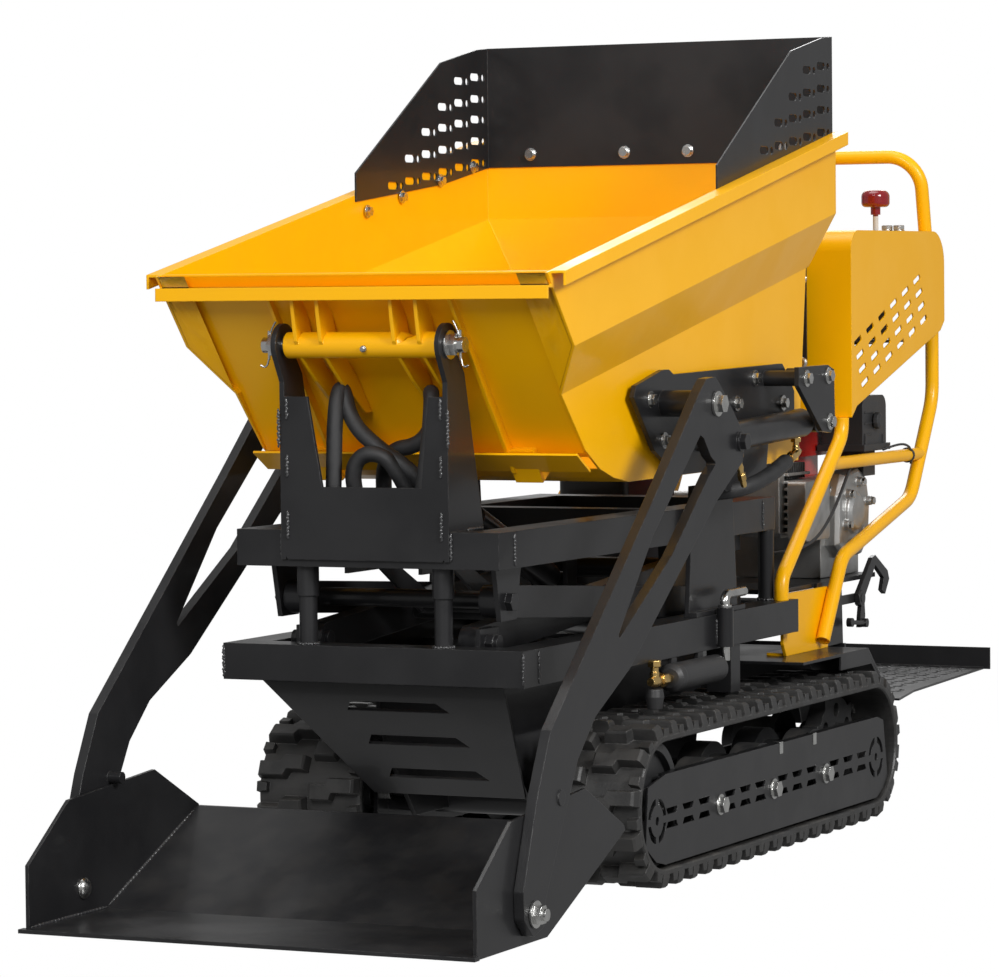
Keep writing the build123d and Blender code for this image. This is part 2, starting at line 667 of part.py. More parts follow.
# hopper extension: three slotted sheets bolted inside the top of the bin
wing_in = bin_top_half - bin_sheet - extension_sheet
wing_outline = (
    (-230, 1084), (-230, 1132), (97, 1328), (240, 1356), (286, 1360), (286, 1150), (100, 1118),
)
slot_rows = ((1308, 2), (1270, 3), (1234, 4), (1196, 5), (1158, 6))
with BuildPart() as hopper_extension:
    for side in sides.values():
        x0 = side * wing_in
        x1 = side * (wing_in + extension_sheet)
        plate_x(wing_outline, x0, x1)
        for z, count in slot_rows:
            for i in range(count):
                y = 240 - 65 * i
                z_slot = z - 9 * i
                with BuildSketch(Plane.YZ.offset(min(x0, x1) - 5)) as holes:
                    with Locations((y - 8 + track_mid, z_slot)):
                        SlotOverall(38, 13)
                    with Locations((y + 25 + track_mid, z_slot)):
                        Circle(6.5)
                extrude(holes.sketch, amount=extension_sheet + 10, mode=Mode.SUBTRACT)
    block((-wing_in, wing_in), (286 - extension_sheet, 286), (1150, 1360))
keep(hopper_extension, "hopper_extension")

with BuildPart() as extension_bolts:
    for side in sides.values():
        for y in (-190, -60, 90, 220):
            z = rim_height(y) - 34
            x = side * wing_in
            rod_x(11, x, x - side * 2, (y, z))
            hex_x(8, x - side * 2, x - side * 8, (y, z))
        for x in (side * 60, side * 240):
            with Locations(Location((x, 286 - extension_sheet - 1 + track_mid, 1172), (90, 0, 0))):
                Cylinder(11, 2)
            with Locations(Location((x, 286 - extension_sheet - 5 + track_mid, 1172), (90, 0, 0))):
                Cylinder(8, 6)
keep(extension_bolts, "extension_bolts")

# ---- self-loading scoop and its arms ----
arm_out = arm_in + arm_plate
stand_out = stand_in + stand_sheet
arm_outline = (
    (-422, 795), (-388, 797), (-365, 782), (-267, 701), (-271, 677), (-277, 659), (-386, 602), (-730, 369),
    (-860, 308), (-924, 251), (-1040, 62), (-1048, 22), (-1084, 12), (-1114, 40), (-1116, 80), (-1064, 215),
    (-1018, 302), (-603, 645), (-451, 775),
)
arm_slot = (
    (-788, 405), (-640, 562), (-467, 695), (-450, 708), (-436, 703), (-408, 673), (-385, 661), (-414, 645),
    (-568, 527),
)


def make_arm(name, side):
    x0 = side * arm_in
    x1 = side * arm_out
    with BuildPart() as arm:
        plate_x(arm_outline, x0, x1, corner=8)
        plate_x(arm_slot, x0 - side * 5, x1 + side * 5, mode=Mode.SUBTRACT, corner=4)
        for at in (arm_pivot, scoop_pivot):
            rod_x(loader_pin + fit, x0 - side * 5, x1 + side * 5, at, mode=Mode.SUBTRACT)
        # pin of the lift rod, headed outside and closed by a thin nut inside
        rod_x(16, x1, x1 + side * 4, lever_pin)
        hex_x(14, x1 + side * 4, x1 + side * 14, lever_pin)
        rod_x(16, x0, x0 - side * 8, lever_pin)
        # stop above the scoop's side plate
        rod_x(9, x0, x0 - side * 22, (-985, 202))
        rod_x(12, x1, x1 + side * 2, (-985, 202))
    keep(arm, name)


for word, side in sides.items():
    make_arm(f"loader_arm_{word}", side)

stand_outline = (
    (-504, 768), (-493, 786), (-388, 808), (-363, 808), (-345, 800), (122, 807), (133, 799), (176, 760), (176, 690),
    (60, 690), (-240, 640), (-330, 640), (-423, 682),
)
base_plate_outline = (
    (14, 803), (148, 804), (176, 796), (180, 704), (160, 690), (120, 694), (14, 772),
)
spacers = ((46, 784), (146, 786))
stand_bolts = ((-441, 763), (-387, 697), (-84, 746), (-4, 786), (121, 741))


def make_stand(name, side):
    # carried on the lower frame, outside the upper frame and the bin, it holds the arm and its cylinder
    x0 = side * stand_in
    x1 = side * stand_out
    foot_in = side * (upper_half + 7)
    foot_out = side * (upper_half + 15)
    with BuildPart() as stand:
        plate_x(stand_outline, x0, x1)
        plate_x(((-150, lower_top), (60, lower_top), (40, 612), (-130, 612)), foot_in, foot_out)
        block((foot_in, x1), (-130, 40), (604, 612))
        plate_x(((-130, 604), (40, 604), (60, 690), (-240, 660)), x0, x1)
        block((foot_out, side * (lower_half - 4)), (-150, 60), (lower_top, lower_top + 8))
        rod_x(loader_pin + 9, x1, side * (arm_in - 6), arm_pivot)
        rod_x(loader_pin + 3, side * (arm_in - 6), side * (arm_in - 1), arm_pivot)
        plate_x(base_plate_outline, side * base_plate_in, side * (base_plate_in + 8))
        for at in spacers:
            rod_x(13, x1, side * base_plate_in, at)
    keep(stand, name)


for word, side in sides.items():
    make_stand(f"loader_stand_{word}", side)

with BuildPart() as loader_pins:
    for side in sides.values():
        rod_x(loader_pin, side * (arm_in - 1), side * (arm_out + 1), arm_pivot)
        rod_x(20, side * (arm_out + gap), side * (arm_out + 5), arm_pivot)
        hex_x(15, side * (arm_out + 5), side * (arm_out + 16), arm_pivot)
        rod_x(lift_pin, side * stand_out, side * base_plate_in, cylinder_base)
        for at in (*spacers, cylinder_base):
            rod_x(14, side * (base_plate_in + 8), side * (base_plate_in + 11), at)
            hex_x(10, side * (base_plate_in + 11), side * (base_plate_in + 18), at)
        for at in stand_bolts:
            rod_x(13, side * stand_out, side * (stand_out + 3), at)
            hex_x(9, side * (stand_out + 3), side * (stand_out + 10), at)
keep(loader_pins, "loader_pins")

cylinder_pair((loader_cyl_x, -loader_cyl_x), cylinder_base, lever_pin, barrel_radius, rod_radius, 0.86, lift_pin,
              ("loader_cylinder_barrels", "loader_cylinder_rods"))

scoop_side = (
    (-1236, 2), (-1236, 98), (-1118, 182), (-860, 201), (-722, 132), (-722, 124), (-1005, 2),
)
with BuildPart() as scoop:
    block((-scoop_half - 4, scoop_half + 4), (scoop_lip, -1236), (0, scoop_sheet))
    block((-scoop_half, scoop_half), (-1236, -1004), (0, scoop_sheet))
    back = ((-1010, 0), (-1000, 0), (-716, 122), (-719, 130), (-728, 130), (-1013, scoop_sheet))
    plate_x(back, -scoop_half, scoop_half)
    for side in sides.values():
        x0 = side * scoop_half
        x1 = side * (scoop_half - scoop_sheet)
        plate_x(scoop_side, x0, x1)
        rod_x(loader_pin + fit, side * (scoop_half + 5), side * (scoop_half - 15), scoop_pivot, mode=Mode.SUBTRACT)
keep(scoop, "scoop")

with BuildPart() as scoop_bolts:
    for side in sides.values():
        inner = side * (scoop_half - scoop_sheet)
        rod_x(loader_pin, inner, side * (arm_out + 8), scoop_pivot)
        rod_x(16, inner, inner - side * 3, scoop_pivot)
        rod_x(12, inner - side * 3, inner - side * 7, scoop_pivot)
        rod_x(20, side * (arm_out + gap), side * (arm_out + 4), scoop_pivot)
        hex_x(15, side * (arm_out + 4), side * (arm_out + 15), scoop_pivot)
        rod_x(9, side * (arm_out + 15), side * (arm_out + 21), scoop_pivot)
keep(scoop_bolts, "scoop_bolts")

# ---- rear: deck, engine, handle frame, console, platform ----
with BuildPart() as rear_deck:
    block((-300, 300), (200, 515), (deck_z - deck_sheet, deck_z))
    for side in sides.values():
        fender = ((515, deck_z), (592, 230), (592, 224), (511, deck_z - deck_sheet))
        plate_x(fender, side * 176, side * 300)
        skirt = ((380, deck_z - deck_sheet), (511, deck_z - deck_sheet), (580, 232), (574, 232), (530, 268), (380, 268))
        plate_x(skirt, side * 296, side * 300)
        # latch plate and hook arm of the left bracket, and its plain twin on the right
        plate_x(((470, deck_z), (598, deck_z), (592, 404), (578, 412), (470, 412)), side * 215, side * 221)
    block((215, 221), (585, 680), (365, 381))
    rod_x(8, 215, 233, hook_pivot)
    block((-215, 215), (lower_rear, 780), (base_z - 9, base_z - 1))
    block((-226, 226), (592, 598), (205, deck_z))
    # ears and pins of the platform hinge
    for side in sides.values():
        ear = ((598, 150), (668, 150), (668, 192), (640, 206), (598, 206))
        for x in (140, 188):
            plate_x(ear, side * x, side * (x + 8))
        block((side * 110, side * 220), (598, 604), (150, 260))
        rod_x(8, side * 140, side * 196, platform_hinge)
keep(rear_deck, "rear_deck")

with BuildPart() as rear_brackets:
    for side in sides.values():
        x0 = side * (handle_x - handle_radius - 6)
        x1 = side * (handle_x - handle_radius)
        plate = ((lower_rear, 405), (lower_rear, 318), (306, deck_z), (506, deck_z), (506, 405))
        plate_x(plate, x0, x1)
        block((x0, side * 190), (lower_rear + 14, 466), (deck_z, deck_z + 5))
keep(rear_brackets, "rear_brackets")

handle_top_z = 1173.0
rear_path = (
    (handle_x, 448, 313), (handle_x, 544, 455), (handle_x, 901, 543), (handle_x, 1024, 724),
    (handle_x, 1024, 872), (handle_x, 960, handle_top_z), (-handle_x, 960, handle_top_z),
    (-handle_x, 1024, 872), (-handle_x, 1024, 724), (-handle_x, 901, 543), (-handle_x, 544, 455),
    (-handle_x, 448, 313),
)
rear_radii = (60, 70, 90, 120, 62, 62, 120, 90, 70, 60)
with BuildPart() as handle_frame:
    tube_path(rear_path, rear_radii, handle_radius)
    for side in sides.values():
        x = side * handle_x
        tube_path(((x, 252, lower_top), (x, 252, 434), (x, 549, 672), (x, 549, 702)), (40, 50), handle_radius)
        rod_between(handle_radius - 1, x, (492, 622), (955, 622))
    for side in sides.values():
        x = side * handle_x
        rod_between(handle_radius - handle_wall, x, (446, 310), (470, 345.5), mode=Mode.SUBTRACT)
keep(handle_frame, "handle_frame")

lever_slots = ((183.0, 880.0), (60.0, 880.0), (0.0, 880.0), (-60.0, 880.0))
console_front = 552.0
console_rear = 1044.0
console_top = 1034.0
console_side = (
    (console_front, 702), (console_front, console_top), (console_rear, console_top), (console_rear, 868),
    (1022, 850), (578, 722),
)


def round_top(sketch, front_radius, rear_radius):
    # round the two upper corners of a side outline
    fillet(sketch.vertices().group_by(Axis.Y)[-1].sort_by(Axis.X)[0], front_radius)
    fillet(sketch.vertices().group_by(Axis.Y)[-1].sort_by(Axis.X)[-1], rear_radius)


slot_pitch_y = 74.0
slot_pitch_z = 24.2
slot_lean = 12.0
slot_step = 62.0
slot_fall = 0.045           # the rows run down towards the rear by this share
slot_start = (620.0, 763.0)
with BuildPart() as console_cover:
    with BuildSketch(Plane.YZ.offset(-console_half)) as outline:
        with BuildLine():
            Polyline(*[(y + track_mid, z) for y, z in console_side], close=True)
        make_face()
        round_top(outline, 36, 60)
    extrude(outline.sketch, amount=2 * console_half)
    inner = console_half - console_sheet
    s = console_sheet
    hollow_rear = console_rear - s
    with BuildSketch(Plane.YZ.offset(-inner)) as hollow:
        with BuildLine():
            Polyline((console_front + s + track_mid, 640), (console_front + s + track_mid, console_top - s),
                     (hollow_rear + track_mid, console_top - s), (hollow_rear + track_mid, 640), close=True)
        make_face()
        round_top(hollow, 36 - s, 60 - s)
    extrude(hollow.sketch, amount=2 * inner, mode=Mode.SUBTRACT)
    block((-inner, inner), (console_front + 30, console_rear + 40), (640, 960), mode=Mode.SUBTRACT)
    for side in sides.values():
        for row in range(9):
            count = min(row + 1, 4, 9 - row)
            shift = -slot_lean * row if row <= 3 else -slot_lean * 3 + slot_step * (row - 3)
            for i in range(count):
                y = slot_start[0] + shift + slot_pitch_y * i
                z = slot_start[1] + slot_pitch_z * row - slot_fall * (y - slot_start[0])
                slot = ((y - 21, z - 2), (y + 13, z + 11), (y + 21, z + 2), (y - 13, z - 11))
                plate_x(slot, side * (inner - 10), side * (console_half + 10), mode=Mode.SUBTRACT, corner=2.5)
        # the handle tube leaves through the top
        rod_between(handle_radius + 2, side * handle_x, (1024, 872), (952, 1211), mode=Mode.SUBTRACT)
    # slots of the control levers in the top
    for x, y in lever_slots:
        block((x - 7, x + 7), (y - 42, y + 42), (console_top - 20, console_top + 20), mode=Mode.SUBTRACT)
keep(console_cover, "console_cover")

shield_half = 148.0
with BuildPart() as console_panel:
    # the valve carrier inside the console, and a shield ahead of it
    block((-224, 224), (console_front + s, console_front + s + 4), (700, 990))
    block((-224, 224), (console_front + s + 4, 960), (830, 834))
    for side in sides.values():
        block((side * 220, side * 224), (console_front + s + 4, 700), (834, 900))
        block((side * 224, side * (console_half - s)), (620, 680), (830, 834))
        block((side * (shield_half - 4), side * shield_half), (524, console_front), (775, 968))
    block((-shield_half, shield_half), (520, 524), (775, 968))
    for x, y in lever_slots:
        for edge in (-1, 1):
            block((x + edge * 9, x + edge * 13), (y - 18, y + 18), (884, 912))
        rod_x(5, x - 13, x + 13, (y, 900))
keep(console_panel, "console_panel")

with BuildPart() as control_valve:
    block((-90, 200), (840, 920), (836, 884))
    for x, y in lever_slots:
        rod_z(12, x, y - 52, 836, 876)
    for x in (150, 60):
        rod_z(9, x, 960, 836, console_top - 10)
keep(control_valve, "control_valve")


def make_lever(name, spot, height, knob):
    x, y = spot
    with BuildPart() as lever:
        rod_x(9, x - 8, x + 8, (y, 900))
        rod_x(5 + fit, x - 9, x + 9, (y, 900), mode=Mode.SUBTRACT)
        rod_z(5, x, y, 908, height)
        if knob == "mushroom":
            rod_z(9, x, y, height - 20, height - 6)
            with BuildPart(mode=Mode.PRIVATE) as cap:
                rod_z(26, x, y, height - 6, height + 25)
                fillet(cap.edges().group_by(Axis.Z)[-1], 12)
                fillet(cap.edges().group_by(Axis.Z)[0], 8)
            add(cap.part)
        else:
            rod_z(13, x, y, height - 34, height + 8)
            rod_z(9, x, y, height - 44, height - 34)
    keep(lever, name)


lever_names = ("red_knob_lever", "lift_lever", "left_drive_lever", "right_drive_lever")
for spot, name in zip(lever_slots, lever_names):
    make_lever(name, spot, 1085 if name == "red_knob_lever" else 1120, "mushroom" if name == "red_knob_lever" else "")

# folding platform
with BuildPart() as platform:
    outline_xy = ((-300, 672), (300, 672), (270, 833), (236, platform_rear), (-236, platform_rear), (-270, 833))
    with BuildSketch(Plane.XY.offset(platform_z - platform_sheet)) as floor:
        with BuildLine():
            Polyline(*[(x, y + track_mid) for x, y in outline_xy], close=True)
        make_face()
    extrude(floor.sketch, amount=platform_sheet)
    block((-248, 248), (platform_rear - 4, platform_rear), (platform_z - platform_sheet, platform_z + 38))
    for side in sides.values():
        block((side * 150, side * 156), (644, 900), (platform_z - 22, platform_z - platform_sheet))
        rod_x(12, side * 149, side * 187, platform_hinge)
    for side in sides.values():
        rod_x(8 + fit, side * 140, side * 196, platform_hinge, mode=Mode.SUBTRACT)
keep(platform, "platform")

# hook lever that holds the raised platform
hook_outline = (
    (656, 362), (669, 358), (664, 338), (662, 320), (682, 320), (688, 340), (684, 372), (742, 428), (786, 402),
    (776, 380), (792, 372), (814, 398), (806, 414), (742, 446), (726, 442), (664, 390), (654, 382),
)
with BuildPart() as platform_hook:
    plate_x(hook_outline, 222, 230)
    rod_x(15, 221.5, 232, hook_pivot)
    rod_x(8 + fit, 210, 240, hook_pivot, mode=Mode.SUBTRACT)
    rod_between(4, 235, (672, 328), (598, 334))
    rod_x(8, 230, 240, (672, 328))
    rod_x(8, 230, 240, (598, 334))
keep(platform_hook, "platform_hook")


def make_lock_pin(name, side):
    x = side * (lower_half + sleeve_radius - 3)
    top = lower_top + 11
    with BuildPart() as pin:
        tube_path(
            ((x, lock_pin_y, 322), (x, lock_pin_y, top + 22), (x, lock_pin_y + 82, top + 22)), (14,),
            lock_pin_radius,
        )
        rod_z(lock_pin_radius + 3, x, lock_pin_y, top + gap, top + 5)
    keep(pin, name)


for word, side in sides.items():
    make_lock_pin(f"lock_pin_{word}", side)

# engine, crank across the machine, cylinder leaning forward
engine_x = (20.0, 186.0)
crank = (668.0, 528.0)
with BuildPart() as engine_block:
    block((engine_x[0], engine_x[1]), (580, 770), (base_z, 590))
    rod_x(62, engine_x[1], engine_x[1] + 16, crank)
    rod_x(40, engine_x[1] + 16, engine_x[1] + 24, crank)
    for i in range(8):
        a = math.radians(45 * i)
        bolt = (crank[0] + 72 * math.cos(a), crank[1] + 56 * math.sin(a))
        rod_x(9, engine_x[1], engine_x[1] + 9, bolt)
    for i in range(9):
        z = 496 + 13 * i
        block((44, 166), (476, 582), (z, z + 5))
    block((64, 146), (490, 582), (490, 610))
    block((52, 158), (452, 478), (500, 604))
    rod_x(14, 158, 172, (520, 540))
    with BuildPart(mode=Mode.PRIVATE) as muffler:
        block((172, 206), (456, 574), (486, 592))
        fillet(muffler.edges().filter_by(Axis.X), 8)
    add(muffler.part)
keep(engine_block, "engine_block")

with BuildPart() as air_cleaner:
    block((148, 226), (690, 812), (640, 736))
    fillet(air_cleaner.edges().filter_by(Axis.X).group_by(Axis.Z)[-1], 22)
    block((160, 216), (720, 780), (590, 640))
    block((140, 232), (684, 818), (636, 648))
keep(air_cleaner, "air_cleaner")

with BuildPart() as fuel_tank:
    block((-70, 136), (560, 770), (628, 698))
    fillet(fuel_tank.edges().filter_by(Axis.Z), 30)
    fillet(fuel_tank.edges().group_by(Axis.Z)[-1], 14)
    rod_z(26, 30, 670, 696, 714)
    block((30, 120), (600, 740), (590, 630))
keep(fuel_tank, "fuel_tank")

with BuildPart() as recoil_housing:
    rod_x(96, -34, engine_x[0], crank)
    rod_x(70, -52, -34, crank)
    rod_x(20, -60, -52, crank)
keep(recoil_housing, "recoil_housing")

with BuildPart() as hydraulic_tank:
    block((-216, -84), (330, 560), (base_z, 600))
    fillet(hydraulic_tank.edges().filter_by(Axis.Z), 14)
    rod_z(24, -150, 500, 600, 622)
keep(hydraulic_tank, "hydraulic_tank")

with BuildPart() as hydraulic_pump:
    rod_x(34, engine_x[1] - 330, engine_x[1] - 254, crank)
    block((-150, -64), (640, 696), (base_z, 500))
keep(hydraulic_pump, "hydraulic_pump")

# sleeved hoses that loop from the upper frame between the tower legs to the manifold
hose_radius = 10.0
hose_bend = 60.0
tip_hose_routes = (
    ((-50, -806, upper_top), (-50, -806, 725), (-34, -676, 725), (-34, -676, 545)),
    ((52, -800, upper_top), (52, -800, 700), (30, -676, 742), (30, -676, 545)),
)
with BuildPart() as tip_hoses:
    for route in tip_hose_routes:
        tube_path(route, (hose_bend, hose_bend), hose_radius)
keep(tip_hoses, "tip_hoses")
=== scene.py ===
import json
import math

import bmesh
import bpy
from mathutils import Matrix, Vector


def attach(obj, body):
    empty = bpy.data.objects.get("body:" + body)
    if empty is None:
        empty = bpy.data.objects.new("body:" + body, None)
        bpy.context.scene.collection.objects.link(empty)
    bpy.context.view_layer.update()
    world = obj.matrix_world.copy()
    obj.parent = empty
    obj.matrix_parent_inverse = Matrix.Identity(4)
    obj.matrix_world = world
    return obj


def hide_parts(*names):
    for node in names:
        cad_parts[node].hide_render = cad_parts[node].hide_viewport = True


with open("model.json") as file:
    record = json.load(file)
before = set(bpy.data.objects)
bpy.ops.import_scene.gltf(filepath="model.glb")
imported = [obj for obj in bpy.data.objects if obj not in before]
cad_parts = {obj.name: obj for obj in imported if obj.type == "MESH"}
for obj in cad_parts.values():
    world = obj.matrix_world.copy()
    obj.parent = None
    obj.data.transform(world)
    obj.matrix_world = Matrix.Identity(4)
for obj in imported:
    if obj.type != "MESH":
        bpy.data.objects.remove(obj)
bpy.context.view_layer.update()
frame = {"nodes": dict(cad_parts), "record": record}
nodes = frame["nodes"]
trackMid = -0.038  # middle of the tracks in the row frame
sides = {"left": 1, "right": -1}
print("frame loaded,", len(nodes), "nodes")


def at(x, y, z):
    # a point whose y is counted from the middle of the tracks
    return Vector((x, y + trackMid, z))


# ---- shared shader groups ----
def newGroup(name, inputs, outputs):
    group = bpy.data.node_groups.new(name, "ShaderNodeTree")
    for label, kind, value in inputs:
        socket = group.interface.new_socket(name=label, in_out="INPUT", socket_type=kind)
        socket.default_value = value
    for label, kind in outputs:
        group.interface.new_socket(name=label, in_out="OUTPUT", socket_type=kind)
    return group, group.nodes.new("NodeGroupInput"), group.nodes.new("NodeGroupOutput")


def addMath(tree, kind, a, b=None, clamp=False):
    node = tree.nodes.new("ShaderNodeMath")
    node.operation = kind
    node.use_clamp = clamp
    for i, value in enumerate((a, b)):
        if value is None:
            continue
        if isinstance(value, (int, float)):
            node.inputs[i].default_value = value
        else:
            tree.links.new(value, node.inputs[i])
    return node.outputs[0]


def addNoise(tree, scale, detail, vector=None):
    node = tree.nodes.new("ShaderNodeTexNoise")
    node.inputs["Detail"].default_value = detail
    if isinstance(scale, (int, float)):
        node.inputs["Scale"].default_value = scale
    else:
        tree.links.new(scale, node.inputs["Scale"])
    if vector is None:
        vector = tree.nodes.new("ShaderNodeTexCoord").outputs["Object"]
    tree.links.new(vector, node.inputs["Vector"])
    return node.outputs["Fac"]


def addRange(tree, value, low, high, toLow=0.0, toHigh=1.0):
    node = tree.nodes.new("ShaderNodeMapRange")
    node.interpolation_type = "SMOOTHSTEP"
    for label, number in (("From Min", low), ("From Max", high), ("To Min", toLow), ("To Max", toHigh)):
        if isinstance(number, (int, float)):
            node.inputs[label].default_value = number
        else:
            tree.links.new(number, node.inputs[label])
    tree.links.new(value, node.inputs["Value"])
    return node.outputs["Result"]


def makeEdgeWear():
    # finds rounded edges and breaks them up; also gives the rounded normal
    group, inside, outside = newGroup(
        "edgeWear",
        (("Radius", "NodeSocketFloat", 0.0015), ("Breakup", "NodeSocketFloat", 90.0),
         ("Reach", "NodeSocketFloat", 0.5)),
        (("Mask", "NodeSocketFloat"), ("Normal", "NodeSocketVector")),
    )
    bevel = group.nodes.new("ShaderNodeBevel")
    bevel.samples = 6
    group.links.new(inside.outputs["Radius"], bevel.inputs["Radius"])
    geometry = group.nodes.new("ShaderNodeNewGeometry")
    dot = group.nodes.new("ShaderNodeVectorMath")
    dot.operation = "DOT_PRODUCT"
    group.links.new(bevel.outputs["Normal"], dot.inputs[0])
    group.links.new(geometry.outputs["Normal"], dot.inputs[1])
    edge = addRange(group, dot.outputs["Value"], 0.999, 0.86)
    breakup = addRange(group, addNoise(group, inside.outputs["Breakup"], 6.0), 0.42, 0.62)
    broken = addMath(group, "MULTIPLY", edge, breakup)
    mask = addMath(group, "MULTIPLY", broken, inside.outputs["Reach"], True)
    group.links.new(mask, outside.inputs["Mask"])
    group.links.new(bevel.outputs["Normal"], outside.inputs["Normal"])
    return group


def makeGrain():
    # fine texture of a sprayed or moulded skin, and the slow shade changes under it
    group, inside, outside = newGroup(
        "skinGrain",
        (("Grain Scale", "NodeSocketFloat", 700.0), ("Cloud Scale", "NodeSocketFloat", 7.0)),
        (("Height", "NodeSocketFloat"), ("Clouds", "NodeSocketFloat")),
    )
    group.links.new(addNoise(group, inside.outputs["Grain Scale"], 2.0), outside.inputs["Height"])
    clouds = addRange(group, addNoise(group, inside.outputs["Cloud Scale"], 5.0), 0.3, 0.7)
    group.links.new(clouds, outside.inputs["Clouds"])
    return group


def makeDust():
    # settled dust: more on upward faces and near the ground
    group, inside, outside = newGroup(
        "settledDust",
        (("Amount", "NodeSocketFloat", 0.2), ("Ground Reach", "NodeSocketFloat", 0.25)),
        (("Mask", "NodeSocketFloat"),),
    )
    geometry = group.nodes.new("ShaderNodeNewGeometry")
    split = group.nodes.new("ShaderNodeSeparateXYZ")
    group.links.new(geometry.outputs["Normal"], split.inputs[0])
    upward = addRange(group, split.outputs["Z"], 0.2, 1.0, 0.15, 1.0)
    spot = group.nodes.new("ShaderNodeTexCoord")
    height = group.nodes.new("ShaderNodeSeparateXYZ")
    group.links.new(spot.outputs["Object"], height.inputs[0])
    low = addRange(group, height.outputs["Z"], inside.outputs["Ground Reach"], 0.0, 0.25, 1.0)
    patch = addRange(group, addNoise(group, 24.0, 8.0), 0.35, 0.75)
    settled = addMath(group, "MULTIPLY", addMath(group, "MULTIPLY", upward, low), patch)
    mask = addMath(group, "MULTIPLY", settled, inside.outputs["Amount"], True)
    group.links.new(mask, outside.inputs["Mask"])
    return group


def makeScuffs():
    # thin random scratches along a chosen way
    group, inside, outside = newGroup(
        "thinScuffs",
        (("Amount", "NodeSocketFloat", 0.3), ("Length Way", "NodeSocketVector", (260.0, 9.0, 30.0))),
        (("Mask", "NodeSocketFloat"),),
    )
    spot = group.nodes.new("ShaderNodeTexCoord")
    stretch = group.nodes.new("ShaderNodeVectorMath")
    stretch.operation = "MULTIPLY"
    group.links.new(spot.outputs["Object"], stretch.inputs[0])
    group.links.new(inside.outputs["Length Way"], stretch.inputs[1])
    lines = addRange(group, addNoise(group, 1.0, 3.0, stretch.outputs[0]), 0.66, 0.74)
    patch = addRange(group, addNoise(group, 5.0, 3.0), 0.45, 0.65)
    streaks = addMath(group, "MULTIPLY", lines, patch)
    mask = addMath(group, "MULTIPLY", streaks, inside.outputs["Amount"], True)
    group.links.new(mask, outside.inputs["Mask"])
    return group


groups = {"wear": makeEdgeWear(), "grain": makeGrain(), "dust": makeDust(), "scuffs": makeScuffs()}
print("shader groups ready")


# ---- finishes ----
def placeGroup(tree, key, **values):
    node = tree.nodes.new("ShaderNodeGroup")
    node.node_tree = groups[key]
    for label, value in values.items():
        node.inputs[label.replace("_", " ")].default_value = value
    return node


def addMix(tree, factor, first, second):
    node = tree.nodes.new("ShaderNodeMix")
    node.data_type = "RGBA"
    for slot, value in ((0, factor), (6, first), (7, second)):
        if hasattr(value, "is_output"):
            tree.links.new(value, node.inputs[slot])
        elif slot == 0:
            node.inputs[slot].default_value = value
        else:
            node.inputs[slot].default_value = (*value, 1.0)
    return node.outputs[2]


def makeFinish(name, look):
    material = bpy.data.materials.new(name)
    material.use_nodes = True
    tree = material.node_tree
    shader = tree.nodes["Principled BSDF"]
    grain = placeGroup(tree, "grain", Grain_Scale=look["grainScale"], Cloud_Scale=look.get("cloudScale", 7.0))
    wear = placeGroup(tree, "wear", Radius=look.get("round", 0.0015), Breakup=look.get("breakup", 90.0),
                      Reach=look.get("wear", 0.4))
    dust = placeGroup(tree, "dust", Amount=look.get("dust", 0.15), Ground_Reach=look.get("dustReach", 0.5))
    scuffs = placeGroup(tree, "scuffs", Amount=look.get("scuffs", 0.2))
    colour = addMix(tree, grain.outputs["Clouds"], look["colour"], look["shade"])
    if "tip" in look:  # a second colour above a height
        height = tree.nodes.new("ShaderNodeSeparateXYZ")
        tree.links.new(tree.nodes.new("ShaderNodeTexCoord").outputs["Object"], height.inputs[0])
        above = addRange(tree, height.outputs["Z"], look["tipFrom"] - 0.0005, look["tipFrom"] + 0.0005)
        colour = addMix(tree, above, colour, look["tip"])
    colour = addMix(tree, scuffs.outputs["Mask"], colour, look["scuffed"])
    colour = addMix(tree, wear.outputs["Mask"], colour, look["worn"])
    colour = addMix(tree, dust.outputs["Mask"], colour, look.get("dustColour", (0.30, 0.27, 0.23)))
    tree.links.new(colour, shader.inputs["Base Color"])
    spread = look.get("roughSpread", 0.06)
    rough = addRange(tree, grain.outputs["Clouds"], 0.0, 1.0, look["rough"] - spread, look["rough"] + spread)
    rough = addMath(tree, "ADD", rough, addMath(tree, "MULTIPLY", dust.outputs["Mask"], 0.5), True)
    rough = addMath(tree, "ADD", rough, addMath(tree, "MULTIPLY", scuffs.outputs["Mask"], 0.15), True)
    tree.links.new(rough, shader.inputs["Roughness"])
    bump = tree.nodes.new("ShaderNodeBump")
    bump.inputs["Strength"].default_value = look.get("bump", 0.25)
    bump.inputs["Distance"].default_value = look.get("bumpDeep", 0.0004)
    tree.links.new(grain.outputs["Height"], bump.inputs["Height"])
    tree.links.new(wear.outputs["Normal"], bump.inputs["Normal"])
    tree.links.new(bump.outputs["Normal"], shader.inputs["Normal"])
    shader.inputs["Metallic"].default_value = look.get("metal", 0.0)
    shader.inputs["Coat Weight"].default_value = look.get("coat", 0.0)
    shader.inputs["Coat Roughness"].default_value = look.get("coatRough", 0.08)
    shader.inputs["Specular IOR Level"].default_value = look.get("specular", 0.5)
    return material


